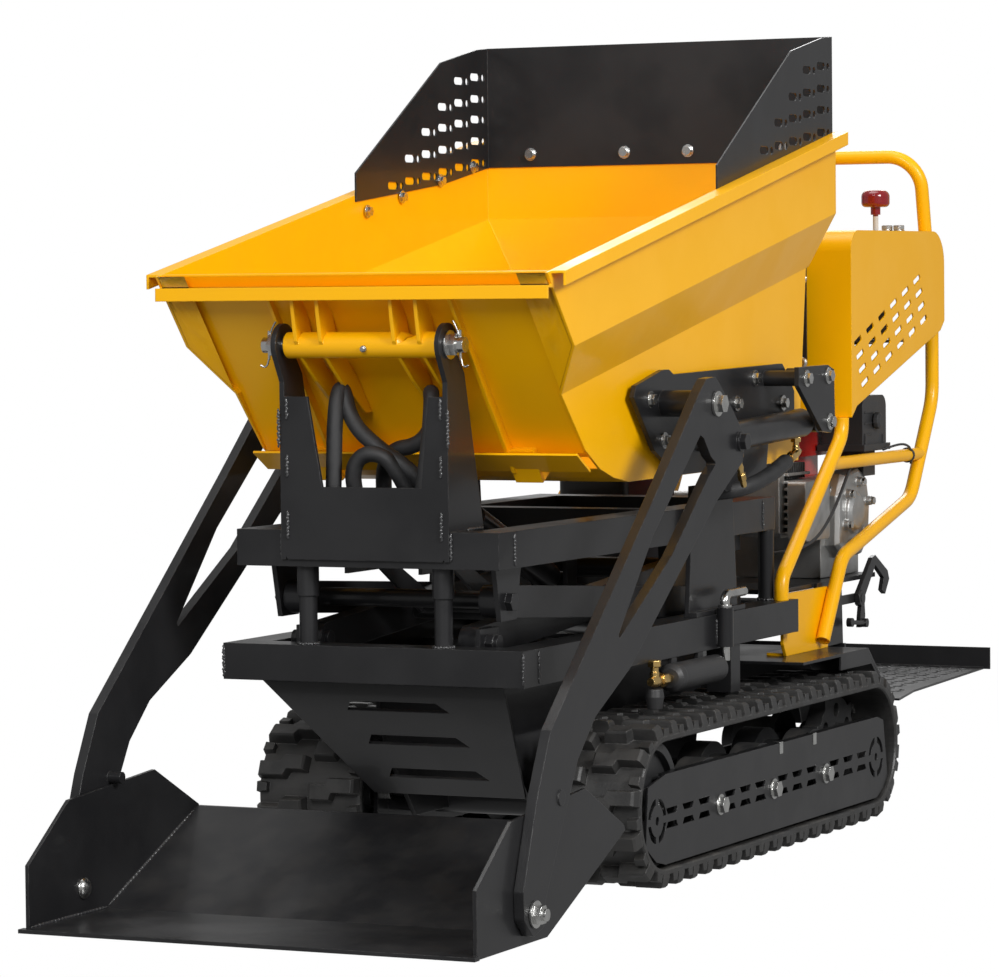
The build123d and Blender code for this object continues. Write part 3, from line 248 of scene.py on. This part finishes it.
looks = {
    "yellowPowderCoat": dict(colour=(0.93, 0.46, 0.0004), shade=(0.90, 0.44, 0.0004), worn=(0.95, 0.54, 0.02),
                             scuffed=(0.94, 0.50, 0.01), rough=0.34, grainScale=420.0, bump=0.04, coat=0.12,
                             coatRough=0.12, wear=0.35, dust=0.02, scuffs=0.02, round=0.0022, specular=0.30),
    "blackPowderCoat": dict(colour=(0.012, 0.012, 0.013), shade=(0.017, 0.017, 0.018), worn=(0.085, 0.083, 0.080),
                            scuffed=(0.045, 0.045, 0.044), rough=0.34, grainScale=520.0, bump=0.20, coat=0.15,
                            wear=0.60, dust=0.03, scuffs=0.20, round=0.0018, specular=0.30),
    "zincPlate": dict(colour=(0.66, 0.66, 0.64), shade=(0.52, 0.52, 0.51), worn=(0.80, 0.80, 0.78),
                      scuffed=(0.75, 0.75, 0.73), rough=0.24, grainScale=900.0, bump=0.12, metal=1.0, wear=0.5,
                      cloudScale=60.0, dust=0.08, round=0.0010),
    "hardChrome": dict(colour=(0.72, 0.73, 0.75), shade=(0.66, 0.67, 0.69), worn=(0.75, 0.75, 0.76),
                       scuffed=(0.6, 0.6, 0.6), rough=0.10, roughSpread=0.03, grainScale=1200.0, bump=0.03,
                       metal=1.0, dust=0.02),
    "trackRubber": dict(colour=(0.020, 0.020, 0.020), shade=(0.030, 0.029, 0.028), worn=(0.085, 0.082, 0.078),
                        scuffed=(0.060, 0.058, 0.055), rough=0.50, roughSpread=0.12, grainScale=300.0, bump=0.45,
                        bumpDeep=0.0006, cloudScale=22.0, wear=0.7, dust=0.14, dustReach=0.30, scuffs=0.35,
                        round=0.002),
    "hoseSleeve": dict(colour=(0.016, 0.016, 0.017), shade=(0.026, 0.026, 0.027), worn=(0.04, 0.04, 0.04),
                       scuffed=(0.05, 0.05, 0.05), rough=0.52, grainScale=1100.0, bump=0.8, bumpDeep=0.0006,
                       cloudScale=40.0, dust=0.08),
    "darkCasting": dict(colour=(0.035, 0.036, 0.038), shade=(0.055, 0.055, 0.055), worn=(0.20, 0.20, 0.19),
                        scuffed=(0.12, 0.12, 0.12), rough=0.55, grainScale=260.0, bump=0.5, bumpDeep=0.0007,
                        metal=0.4, wear=0.6, dust=0.22),
    "castAluminium": dict(colour=(0.50, 0.50, 0.49), shade=(0.40, 0.40, 0.39), worn=(0.68, 0.68, 0.66),
                          scuffed=(0.6, 0.6, 0.6), rough=0.42, grainScale=480.0, bump=0.45, metal=0.9, wear=0.5,
                          cloudScale=25.0, dust=0.10, round=0.003),
    "redEnamel": dict(colour=(0.50, 0.018, 0.012), shade=(0.42, 0.014, 0.010), worn=(0.65, 0.10, 0.08),
                      scuffed=(0.6, 0.1, 0.1), rough=0.22, grainScale=500.0, bump=0.06, coat=0.8, dust=0.05,
                      round=0.003),
    "blackPlastic": dict(colour=(0.022, 0.022, 0.023), shade=(0.030, 0.030, 0.031), worn=(0.055, 0.055, 0.055),
                         scuffed=(0.05, 0.05, 0.05), rough=0.46, grainScale=800.0, bump=0.4, wear=0.3, dust=0.12,
                         round=0.002),
    "knobAndRod": dict(colour=(0.62, 0.62, 0.60), shade=(0.5, 0.5, 0.49), worn=(0.7, 0.5, 0.5),
                       scuffed=(0.7, 0.3, 0.3), rough=0.24, grainScale=700.0, bump=0.05, metal=0.0, coat=0.6,
                       tip=(0.22, 0.006, 0.010), tipFrom=1.062, dust=0.03, round=0.002),
    "brass": dict(colour=(0.80, 0.56, 0.22), shade=(0.68, 0.45, 0.16), worn=(0.90, 0.68, 0.34),
                  scuffed=(0.85, 0.62, 0.3), rough=0.22, grainScale=900.0, bump=0.08, metal=1.0, cloudScale=50.0,
                  dust=0.05, round=0.0010),
    "weldSteel": dict(colour=(0.030, 0.030, 0.032), shade=(0.045, 0.045, 0.046), worn=(0.25, 0.25, 0.24),
                      scuffed=(0.2, 0.2, 0.2), rough=0.26, grainScale=650.0, bump=0.6, bumpDeep=0.0008, coat=0.3,
                      wear=0.9, dust=0.05, round=0.001),
}
finishes = {name: makeFinish(name, look) for name, look in looks.items()}
slotFinish = {
    "yellow_paint": "yellowPowderCoat", "black_paint": "blackPowderCoat", "zinc": "zincPlate",
    "bright_steel": "hardChrome", "rubber": "trackRubber", "hose_rubber": "hoseSleeve", "cast_iron": "darkCasting",
    "red_plastic": "knobAndRod", "black_plastic": "blackPlastic", "engine_aluminium": "castAluminium",
    "tank_paint": "redEnamel", "brass": "brass",
}
for row in frame["record"]["subparts"]:
    node = nodes[row["node"]]
    node.data.materials.clear()
    node.data.materials.append(finishes[slotFinish[row["material_slot"]]])


# ---- making pieces ----
def makePiece(bm, name, finish, body, smooth=False):
    bmesh.ops.recalc_face_normals(bm, faces=bm.faces)
    mesh = bpy.data.meshes.new(name)
    bm.to_mesh(mesh)
    bm.free()
    mesh.materials.append(finishes[finish])
    if smooth:
        mesh.shade_smooth()
    piece = bpy.data.objects.new(name, mesh)
    bpy.context.scene.collection.objects.link(piece)
    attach(piece, body)
    return piece


def addLoft(bm, rings, closed=False, capped=True):
    # skins rings of equally many points
    made = [[bm.verts.new(p) for p in ring] for ring in rings]
    count = len(made)
    for i in range(count if closed else count - 1):
        a, b = made[i], made[(i + 1) % count]
        for j in range(len(a)):
            k = (j + 1) % len(a)
            bm.faces.new((a[j], a[k], b[k], b[j]))
    if capped and not closed:
        bm.faces.new(made[0])
        bm.faces.new(list(reversed(made[-1])))
    return made


def addTurned(bm, start, end, profile, segments=24):
    # a turned part: profile is (share of the way, radius) from start to end
    way = (end - start).normalized()
    side = way.orthogonal().normalized()
    other = way.cross(side)
    rings = []
    for share, radius in profile:
        middle = start.lerp(end, share)
        rings.append([
            middle + side * radius * math.cos(2 * math.pi * i / segments)
            + other * radius * math.sin(2 * math.pi * i / segments)
            for i in range(segments)
        ])
    addLoft(bm, rings)


def addBlock(bm, low, high, chamfer=0.0):
    made = bmesh.ops.create_cube(bm, size=1.0)["verts"]
    size = [high[i] - low[i] for i in range(3)]
    middle = [(high[i] + low[i]) / 2 for i in range(3)]
    bmesh.ops.scale(bm, vec=size, verts=made)
    bmesh.ops.translate(bm, vec=middle, verts=made)
    if chamfer:
        edges = list({e for v in made for e in v.link_edges})
        bmesh.ops.bevel(bm, geom=edges, offset=chamfer, segments=2, affect="EDGES", profile=0.6)


# ---- rubber tracks ----
belt = {
    "links": 42, "gauge": 0.242, "half": 0.090, "carcass": 0.010, "base": 0.934,
    "radius": 0.110, "axle": 0.130, "stepsPerLink": 6, "toothDeep": 0.011,
    # plan of one lug in its column: (across, along)
    "lugPlan": ((0.004, -0.016), (0.043, -0.016), (0.049, -0.005), (0.0895, -0.005), (0.0895, 0.016),
                (0.041, 0.016), (0.035, 0.006), (0.004, 0.006)),
    # (height, scale) of the rings up a lug
    "lugRings": ((-0.004, 1.14), (0.004, 1.06), (0.0165, 0.93), (0.0200, 0.84)),
}
beltArc = math.pi * (belt["radius"] - belt["carcass"] / 2)
beltLength = 2 * (belt["base"] + beltArc)


def beltPoint(x, s, height):
    s %= beltLength
    radius = belt["radius"] + height
    half = belt["base"] / 2
    if s < belt["base"]:
        return at(x, s - half, belt["axle"] + radius)
    s -= belt["base"]
    if s < beltArc:
        turn = math.pi / 2 - math.pi * s / beltArc
        return at(x, half + radius * math.cos(turn), belt["axle"] + radius * math.sin(turn))
    s -= beltArc
    if s < belt["base"]:
        return at(x, half - s, belt["axle"] - radius)
    turn = -math.pi / 2 - math.pi * (s - belt["base"]) / beltArc
    return at(x, -half + radius * math.cos(turn), belt["axle"] + radius * math.sin(turn))


def addLug(bm, centre, s, mirror):
    plan = belt["lugPlan"]
    midAcross = sum(p[0] for p in plan) / len(plan)
    rings = []
    for height, scale in belt["lugRings"]:
        ring = []
        for across, along in plan:
            across = midAcross + (across - midAcross) * min(scale, 1.0)
            ring.append(beltPoint(centre + mirror * across, s + mirror * along * scale, height))
        rings.append(ring)
    addLoft(bm, rings)


for word, side in sides.items():
    centre = side * belt["gauge"]
    half, thick = belt["half"], belt["carcass"]
    profile = ((-half, -thick * 0.8), (-half, -0.002), (-half + 0.003, 0), (half - 0.003, 0), (half, -0.002),
               (half, -thick * 0.8), (half - 0.003, -thick), (-half + 0.003, -thick))
    bm = bmesh.new()
    steps = belt["links"] * belt["stepsPerLink"]
    addLoft(bm, [[beltPoint(centre + v, beltLength * i / steps, h) for v, h in profile]
                 for i in range(steps)],
            closed=True)
    for i in range(belt["links"]):
        pitch = beltLength / belt["links"]
        addLug(bm, centre, i * pitch, -1)
        addLug(bm, centre, (i + 0.5) * pitch, 1)
        for mirror, phase in ((-1, 0.5), (1, 0.0)):
            # narrow tooth at the edge between two lugs
            s = (i + phase) * pitch
            tooth = [(0.072, -0.007), (half - 0.0005, -0.009), (half - 0.0005, 0.009), (0.072, 0.007)]
            addLoft(bm, [[beltPoint(centre + mirror * a, s + b * k, h) for a, b in tooth]
                         for h, k in ((-0.003, 1.1), (belt["toothDeep"], 0.75))])
        # low guide blocks on the inner face, either side of the wheel groove
        for v in (-0.012, 0.012):
            guide = [(v - 0.005, -0.010), (v + 0.005, -0.010), (v + 0.005, 0.010), (v - 0.005, 0.010)]
            s = (i + 0.25) * pitch
            addLoft(bm, [[beltPoint(centre + a, s + b * k, h) for a, b in guide]
                         for h, k in ((-thick + 0.002, 1.1), (-thick - 0.0055, 0.7))])
    track = makePiece(bm, f"trackBelt_{word}", "trackRubber", "chassis")
    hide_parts(f"rubber_track_{word}")
print("tracks laid")


# ---- weld beads ----
weld = {"radius": 0.0030, "ripple": 0.0050, "ringPoints": 7}


def addBead(bm, start, end, number):
    length = (end - start).length
    way = (end - start).normalized()
    side = way.orthogonal().normalized()
    other = way.cross(side)
    count = max(6, int(length / weld["ripple"] * 3))
    rings = []
    for i in range(count + 1):
        t = i / count
        swell = 0.62 + 0.38 * abs(math.sin(math.pi * t * length / weld["ripple"]))
        wander = 0.0007 * math.sin(17.0 * t * length * 40 + number * 2.3)
        ends = min(1.0, 0.35 + 6 * min(t, 1 - t))
        radius = weld["radius"] * swell * ends
        middle = start.lerp(end, t) + side * wander
        rings.append([
            middle + side * radius * math.cos(2 * math.pi * j / weld["ringPoints"])
            + other * radius * math.sin(2 * math.pi * j / weld["ringPoints"])
            for j in range(weld["ringPoints"])
        ])
    addLoft(bm, rings)


def makeBeads(name, body, runs):
    bm = bmesh.new()
    for number, (start, end) in enumerate(runs):
        addBead(bm, at(*start), at(*end), number)
    makePiece(bm, name, "weldSteel", body, smooth=True)


upperRuns, lowerRuns = [], []
for side in sides.values():
    upperRuns += [
        ((side * 0.222, -0.786, 0.522), (side * 0.222, -0.786, 0.572)),
        ((side * 0.222, 0.215, 0.522), (side * 0.222, 0.215, 0.572)),
        ((side * 0.143, -0.8435, 0.531), (side * 0.143, -0.8435, 0.574)),
        ((side * 0.130, -0.8485, 0.742), (side * 0.130, -0.8485, 0.776)),
        ((side * 0.130, -0.8485, 0.655), (side * 0.130, -0.8485, 0.690)),
        ((side * 0.130, -0.8485, 0.560), (side * 0.130, -0.8485, 0.605)),
        ((side * 0.143, -0.8500, 0.700), (side * 0.143, -0.8500, 0.760)),
        ((side * 0.143, -0.786, 0.5760), (side * 0.143, -0.730, 0.5760)),
        ((side * 0.1915, -0.785, 0.5180), (side * 0.1915, -0.705, 0.5180)),
    ]
    lowerRuns += [
        ((side * 0.255, -0.774, 0.345), (side * 0.255, -0.774, 0.395)),
        ((side * 0.2545, -0.8295, 0.345), (side * 0.2545, -0.8295, 0.395)),
        ((side * 0.199, 0.237, 0.3985), (side * 0.199, 0.290, 0.3985)),
        ((side * 0.1485, -0.774, 0.3985), (side * 0.1485, -0.712, 0.3985)),
        ((side * 0.2555, -0.075, 0.348), (side * 0.2555, -0.075, 0.392)),
    ]
    for x, y in ((0.115, -0.813), (0.212, 0.252)):
        ring = [(side * (x + 0.0155 * math.cos(a)), y + 0.0155 * math.sin(a), 0.3995)
                for a in [math.pi * k / 5 for k in range(11)]]
        lowerRuns += list(zip(ring, ring[1:]))
makeBeads("upperWelds", "upper_carriage", upperRuns)
makeBeads("lowerWelds", "chassis", lowerRuns)
scoopRuns = [((side * 0.3615, y0, z0), (side * 0.3615, y1, z1)) for side in sides.values()
             for (y0, z0), (y1, z1) in (((-1.232, 0.0065), (-1.010, 0.0075)), ((-1.008, 0.009), (-0.735, 0.126)))]
makeBeads("scoopWelds", "scoop_body", scoopRuns)
print("welds run")

# ---- tread plate on the platform ----
tread = {"pitch": 0.031, "long": 0.024, "wide": 0.0065, "high": 0.0016, "top": 0.193, "margin": 0.022,
         "front": 0.690, "rear": 1.316}
bm = bmesh.new()
rowCount = int((tread["rear"] - tread["front"]) / tread["pitch"])
for row in range(rowCount):
    y = tread["front"] + tread["pitch"] * (row + 0.5)
    reach = (0.300 + (0.270 - 0.300) * (y - 0.672) / 0.161 if y < 0.833
             else 0.270 + (0.236 - 0.270) * (y - 0.833) / 0.495) - tread["margin"]
    count = int(reach / tread["pitch"])
    for column in range(-count, count + 1):
        x = column * tread["pitch"]
        turn = math.radians(45 if (row + column) % 2 else -45)
        rings = []
        for height, scale in ((-0.0004, 1.0), (tread["high"] * 0.7, 0.8), (tread["high"], 0.45)):
            ring = []
            for i in range(10):
                a = 2 * math.pi * i / 10
                u = math.cos(a) * tread["long"] / 2 * scale
                v = math.sin(a) * tread["wide"] / 2 * scale
                ring.append(at(x + u * math.cos(turn) - v * math.sin(turn),
                               y + u * math.sin(turn) + v * math.cos(turn), tread["top"] + height))
            rings.append(ring)
        addLoft(bm, rings)
makePiece(bm, "platformTread", "blackPowderCoat", "standing_platform", smooth=True)
print("tread plate pressed")

# ---- hoses, fittings and small parts ----
def makeHose(name, points, radius, finish, body):
    data = bpy.data.curves.new(name, "CURVE")
    data.dimensions = "3D"
    data.bevel_depth = radius
    data.bevel_resolution = 5
    data.resolution_u = 10
    data.use_fill_caps = True
    line = data.splines.new("NURBS")
    line.points.add(len(points) - 1)
    for point, spot in zip(line.points, points):
        point.co = (*at(*spot), 1.0)
    line.order_u = 3
    line.use_endpoint_u = True
    data.materials.append(finishes[finish])
    piece = bpy.data.objects.new(name, data)
    bpy.context.scene.collection.objects.link(piece)
    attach(piece, body)
    return piece


tipHoses = {
    "radius": 0.0125,
    "routes": (
        ((-0.075, -0.806, 0.575), (-0.072, -0.806, 0.660), (-0.072, -0.800, 0.760), (-0.070, -0.780, 0.800),
         (-0.052, -0.786, 0.736), (0.000, -0.792, 0.696), (0.040, -0.790, 0.672), (0.066, -0.770, 0.640),
         (0.068, -0.720, 0.560)),
        ((0.066, -0.800, 0.575), (0.084, -0.800, 0.680), (0.088, -0.790, 0.770), (0.076, -0.770, 0.790),
         (0.070, -0.748, 0.730), (0.040, -0.744, 0.700), (-0.010, -0.740, 0.694), (-0.036, -0.720, 0.640),
         (-0.034, -0.690, 0.545)),
        ((0.052, -0.770, 0.600), (0.030, -0.800, 0.676), (-0.006, -0.806, 0.694), (-0.036, -0.806, 0.680),
         (-0.044, -0.800, 0.640), (-0.034, -0.780, 0.575)),
    ),
}
for i, route in enumerate(tipHoses["routes"]):
    hose = makeHose(f"tipHose_{i + 1}", route, tipHoses["radius"], "hoseSleeve", "upper_carriage")
    if i == 0:
        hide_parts("tip_hoses")


def addNut(bm, start, end, across):
    # hexagon with softened corners
    addTurned(bm, start, end, ((0, across * 0.5), (0.12, across * 0.56),
                               (0.88, across * 0.56), (1, across * 0.5)), 6)


def addElbow(bm, corner, out, down, size):
    # an angled hose fitting: hex tail, ball body and a swivel nut
    addTurned(bm, corner - out * size * 0.9, corner + out * size * 1.2,
              ((0, 0.34 * size), (0.25, 0.46 * size), (0.5, 0.52 * size), (0.8, 0.42 * size), (1, 0.40 * size)))
    addTurned(bm, corner, corner + down * size * 1.5,
              ((0, 0.40 * size), (0.5, 0.40 * size), (0.55, 0.34 * size), (1, 0.34 * size)))
    addNut(bm, corner + out * size * 1.1, corner + out * size * 2.1, size * 1.15)
    addNut(bm, corner + down * size * 1.2, corner + down * size * 1.8, size * 1.1)
    addTurned(bm, corner + out * size * 2.1, corner + out * size * 3.2,
              ((0, 0.40 * size), (0.3, 0.44 * size), (0.7, 0.44 * size), (1, 0.36 * size)))


forward, upward = Vector((0, -1, 0)), Vector((0, 0, 1))
fittings = {"loader": 0.0150, "frame": 0.0190}
for word, side in sides.items():
    bm = bmesh.new()
    lean = Vector((0, -0.966, -0.259))
    addElbow(bm, at(side * 0.328, 0.100, 0.658), lean, upward, fittings["loader"])
    addElbow(bm, at(side * 0.328, -0.150, 0.646), Vector((0, 0.5, -0.866)), upward, fittings["loader"] * 0.8)
    makePiece(bm, f"loaderFittings_{word}", "brass", "loader_barrels", smooth=False)
    makeHose(f"loaderHose_{word}", [
        (side * 0.328, 0.054, 0.645), (side * 0.327, 0.010, 0.632), (side * 0.322, -0.040, 0.618),
        (side * 0.306, -0.090, 0.606), (side * 0.262, -0.110, 0.600), (side * 0.240, -0.116, 0.600),
    ], 0.0135, "hoseSleeve", "chassis")

bm = bmesh.new()
addElbow(bm, at(0.262, -0.352, 0.312), Vector((0, 1, 0)), upward, fittings["frame"])
makePiece(bm, "frameFitting", "brass", "chassis")
bm = bmesh.new()
addTurned(bm, at(0.262, -0.292, 0.312), at(0.262, -0.092, 0.312),
          ((0, 0.016), (0.03, 0.023), (0.10, 0.0235), (0.12, 0.0225), (0.97, 0.0225), (1, 0.018)), 32)
addTurned(bm, at(0.262, -0.352, 0.300), at(0.262, -0.352, 0.268), ((0, 0.013), (0.4, 0.015), (1, 0.012)))
for y in (-0.250, -0.140):
    addBlock(bm, at(0.246, y - 0.010, 0.330), at(0.253, y + 0.010, 0.3425))
makePiece(bm, "frameHoseGuard", "blackPlastic", "chassis", smooth=False)

# domed bolt heads inside the scoop
bm = bmesh.new()
dome = {"radius": 0.0165, "high": 0.0105}
for side in sides.values():
    face = at(side * 0.3622, -1.080, 0.045)
    profile = [(math.sin(a), dome["radius"] * math.cos(a)) for a in [math.pi / 2 * k / 8 for k in range(8)]]
    addTurned(bm, face, face - Vector((side * dome["high"], 0, 0)), profile + [(1.0, 0.0015)], 32)
makePiece(bm, "scoopDomes", "zincPlate", "scoop_body", smooth=True)

# spring clips on the upper edge of each track cover
bm = bmesh.new()
for side in sides.values():
    for y in (0.028, 0.182):
        x0, x1 = sorted((side * 0.3235, side * 0.3275))
        addBlock(bm, at(x0, y - 0.007, 0.160), at(x1, y + 0.007, 0.1795), 0.0008)
        x0, x1 = sorted((side * 0.314, side * 0.3275))
        addBlock(bm, at(x0, y - 0.007, 0.1782), at(x1, y + 0.007, 0.1800), 0.0005)
makePiece(bm, "coverClips", "zincPlate", "chassis")

# engine: cooling fins, side cover with its bolts, filter knob, plug lead
engine = {"finCount": 9, "coverBolt": 0.0065}
bm = bmesh.new()
coverOutline = [(0.600, 0.470), (0.604, 0.560), (0.630, 0.600), (0.700, 0.612), (0.748, 0.590), (0.764, 0.540),
                (0.758, 0.474), (0.720, 0.446), (0.640, 0.446)]
rings = []
for x, k in ((0.186, 1.0), (0.204, 0.98), (0.212, 0.93), (0.214, 0.86)):
    rings.append([at(x, 0.684 + (y - 0.684) * k, 0.526 + (z - 0.526) * k) for y, z in coverOutline])
addLoft(bm, rings)
addTurned(bm, at(0.214, 0.668, 0.528), at(0.226, 0.668, 0.528), ((0, 0.040), (0.5, 0.038), (1, 0.030)), 36)
for i in range(6):
    a = math.radians(60 * i + 20)
    rim = at(0, 0.684 + 0.060 * math.cos(a), 0.526 + 0.056 * math.sin(a))
    addTurned(bm, Vector((0.209, rim.y, rim.z)), Vector((0.224, rim.y, rim.z)),
              ((0, 0.010), (0.5, 0.009), (1, 0.008)), 16)
makePiece(bm, "crankcaseCover", "castAluminium", "chassis")
bm = bmesh.new()
for i in range(6):
    a = math.radians(60 * i + 20)
    rim = at(0, 0.684 + 0.060 * math.cos(a), 0.526 + 0.056 * math.sin(a))
    addNut(bm, Vector((0.224, rim.y, rim.z)), Vector((0.230, rim.y, rim.z)), 2 * engine["coverBolt"])
makePiece(bm, "crankcaseBolts", "zincPlate", "chassis")
bm = bmesh.new()
for i in range(engine["finCount"]):
    y = 0.486 + 0.0105 * i
    addBlock(bm, at(0.052, y, 0.594), at(0.160, y + 0.003, 0.622), 0.0008)
makePiece(bm, "headFins", "darkCasting", "chassis")
bm = bmesh.new()
addTurned(bm, at(0.226, 0.750, 0.690), at(0.240, 0.750, 0.690),
          ((0, 0.012), (0.3, 0.016), (0.8, 0.015), (1, 0.010)), 12)
for y in (0.705, 0.797):
    addBlock(bm, at(0.222, y - 0.006, 0.640), at(0.2285, y + 0.006, 0.664), 0.001)
for z in (0.664, 0.684, 0.704):
    addBlock(bm, at(0.224, 0.700, z), at(0.2275, 0.738, z + 0.004), 0.0008)
makePiece(bm, "filterTrim", "blackPlastic", "chassis")
makeHose("throttleCable", [
    (0.232, 0.780, 0.636), (0.244, 0.830, 0.646), (0.250, 0.872, 0.640), (0.246, 0.890, 0.624),
    (0.240, 0.905, 0.606),
], 0.0022, "blackPlastic", "chassis")
makeHose("plugLead", [
    (0.236, 0.600, 0.612), (0.238, 0.560, 0.580), (0.238, 0.500, 0.530), (0.230, 0.440, 0.488), (0.210, 0.380, 0.474),
    (0.170, 0.360, 0.470),
], 0.0028, "blackPlastic", "chassis")
bm = bmesh.new()
addTurned(bm, at(0.240, 0.885, 0.622), at(0.240, 0.889, 0.622),
          ((0, 0.0128), (0.02, 0.0142), (0.98, 0.0142), (1, 0.0128)), 24)
makePiece(bm, "cableTie", "blackPlastic", "chassis")

# folded strip that closes the bin between its floor and its front wall
toeStrip = {
    "half": 0.279,
    "outline": ((-0.6316, 0.6602), (-0.6335, 0.6569), (-0.6825, 0.6844), (-0.6806, 0.6877)),
}
bm = bmesh.new()
addLoft(bm, [[at(x, y, z) for y, z in toeStrip["outline"]]
             for x in (-toeStrip["half"], toeStrip["half"])])
makePiece(bm, "toeStrip", "yellowPowderCoat", "bin")

# grease nipple under the tip tube, split pins bent round the tower pin
bm = bmesh.new()
addTurned(bm, at(0.010, -0.8615, 0.8515), at(0.010, -0.8680, 0.8490),
          ((0, 0.0050), (0.4, 0.0050), (0.5, 0.003), (0.9, 0.0042), (1, 0.002)), 12)
makePiece(bm, "greaseNipple", "zincPlate", "bin")
for word, side in sides.items():
    makeHose(f"splitPin_{word}", [
        (side * 0.150, -0.842, 0.892), (side * 0.158, -0.843, 0.880), (side * 0.162, -0.842, 0.856),
        (side * 0.162, -0.842, 0.834), (side * 0.168, -0.842, 0.820), (side * 0.176, -0.844, 0.826),
    ], 0.0016, "zincPlate", "bin")
# black strip ahead of the console, the part of the shield that shows past the bin
bm = bmesh.new()
addBlock(bm, at(0.146, 0.5200, 0.775), at(0.185, 0.5235, 0.968))
makePiece(bm, "shieldEdge", "blackPowderCoat", "chassis")

# hexagon caps on the console, bolts of the front strip
caps = {"spots": ((0.176, 0.960), (0.199, 0.960)), "top": 1.0342, "across": 0.020}
bm = bmesh.new()
for x, y in caps["spots"]:
    foot = at(x, y, caps["top"])
    addTurned(bm, foot, foot + upward * 0.003, ((0, 0.011), (0.8, 0.011), (1, 0.009)))
    addNut(bm, foot + upward * 0.003, foot + upward * 0.012, caps["across"])
for side in sides.values():
    for z in (0.948, 0.800):
        foot = at(side * 0.176, 0.520, z)
        addTurned(bm, foot, foot + forward * 0.005, ((0, 0.011), (0.5, 0.010), (0.85, 0.007), (1, 0.003)))
makePiece(bm, "consoleCaps", "zincPlate", "chassis")
print("small parts fitted")

# ---- stage, light, camera ----
stageLook = {"floorSize": 40.0, "domeRadius": 30.0, "ambientTone": (1.0, 1.0, 1.0), "ambientPower": 0.34}


def makeBackdrop(name, mesh):
    # plain white paper that is seen but throws no light on the machine
    paper = bpy.data.materials.new(name)
    paper.use_nodes = True
    tree = paper.node_tree
    tree.nodes.remove(tree.nodes["Principled BSDF"])
    glow = tree.nodes.new("ShaderNodeEmission")
    tree.links.new(glow.outputs[0], tree.nodes["Material Output"].inputs["Surface"])
    mesh.materials.append(paper)
    backdrop = bpy.data.objects.new(name, mesh)
    bpy.context.scene.collection.objects.link(backdrop)
    backdrop.visible_diffuse = False
    backdrop.visible_glossy = False
    backdrop.visible_shadow = False
    return backdrop


bm = bmesh.new()
bmesh.ops.create_grid(bm, x_segments=1, y_segments=1, size=stageLook["floorSize"])
floorMesh = bpy.data.meshes.new("studioFloor")
bm.to_mesh(floorMesh)
bm.free()
makeBackdrop("studioFloor", floorMesh).location.z = -0.001
bm = bmesh.new()
bmesh.ops.create_icosphere(bm, subdivisions=3, radius=stageLook["domeRadius"])
domeMesh = bpy.data.meshes.new("studioDome")
bm.to_mesh(domeMesh)
bm.free()
makeBackdrop("studioDome", domeMesh)
world = bpy.data.worlds.new("studioWorld")
bpy.context.scene.world = world
world.use_nodes = True
world.node_tree.nodes["Background"].inputs["Color"].default_value = (*stageLook["ambientTone"], 1)
world.node_tree.nodes["Background"].inputs["Strength"].default_value = stageLook["ambientPower"]
lamps = {
    "keyLamp": dict(place=(5.2, -2.6, 3.4), aim=(0, -0.1, 0.6), size=1.8, power=300.0),
    "frontLamp": dict(place=(0.9, -6.6, 3.6), aim=(0, -0.2, 0.7), size=2.2, power=230.0),
    "topLamp": dict(place=(-0.4, 0.2, 4.4), aim=(0, 0, 0.6), size=2.6, power=70.0),
    "rimLamp": dict(place=(-1.6, 4.8, 3.4), aim=(0, 0.3, 0.7), size=2.0, power=60.0),
}
for name, lamp in lamps.items():
    light = bpy.data.lights.new(name, "AREA")
    light.size = lamp["size"]
    light.energy = lamp["power"]
    holder = bpy.data.objects.new(name, light)
    holder.location = lamp["place"]
    toward = Vector(lamp["aim"]) - Vector(lamp["place"])
    holder.rotation_euler = toward.to_track_quat("-Z", "Y").to_euler()
    bpy.context.scene.collection.objects.link(holder)

view = {"place": (3.005, -6.769, 0.952), "lens": 157.81, "film": 36.0,
        "right": (0.90439998, 0.42656846, -0.01000116), "up": (-0.01126192, 0.04729515, 0.99881747),
        "forward": (-0.42653704, 0.90321787, -0.04757771)}
cameraData = bpy.data.cameras.new("studioCamera")
cameraData.lens = view["lens"]
cameraData.sensor_width = view["film"]
cameraData.sensor_fit = "HORIZONTAL"
camera = bpy.data.objects.new("studioCamera", cameraData)
right, up, back = Vector(view["right"]), Vector(view["up"]), -Vector(view["forward"])
turn = Matrix((right, up, back)).transposed().to_4x4()
camera.matrix_world = Matrix.Translation(Vector(view["place"])) @ turn
bpy.context.scene.collection.objects.link(camera)
bpy.context.scene.camera = camera
bpy.context.scene.view_settings.view_transform = "Standard"
print("stage set")
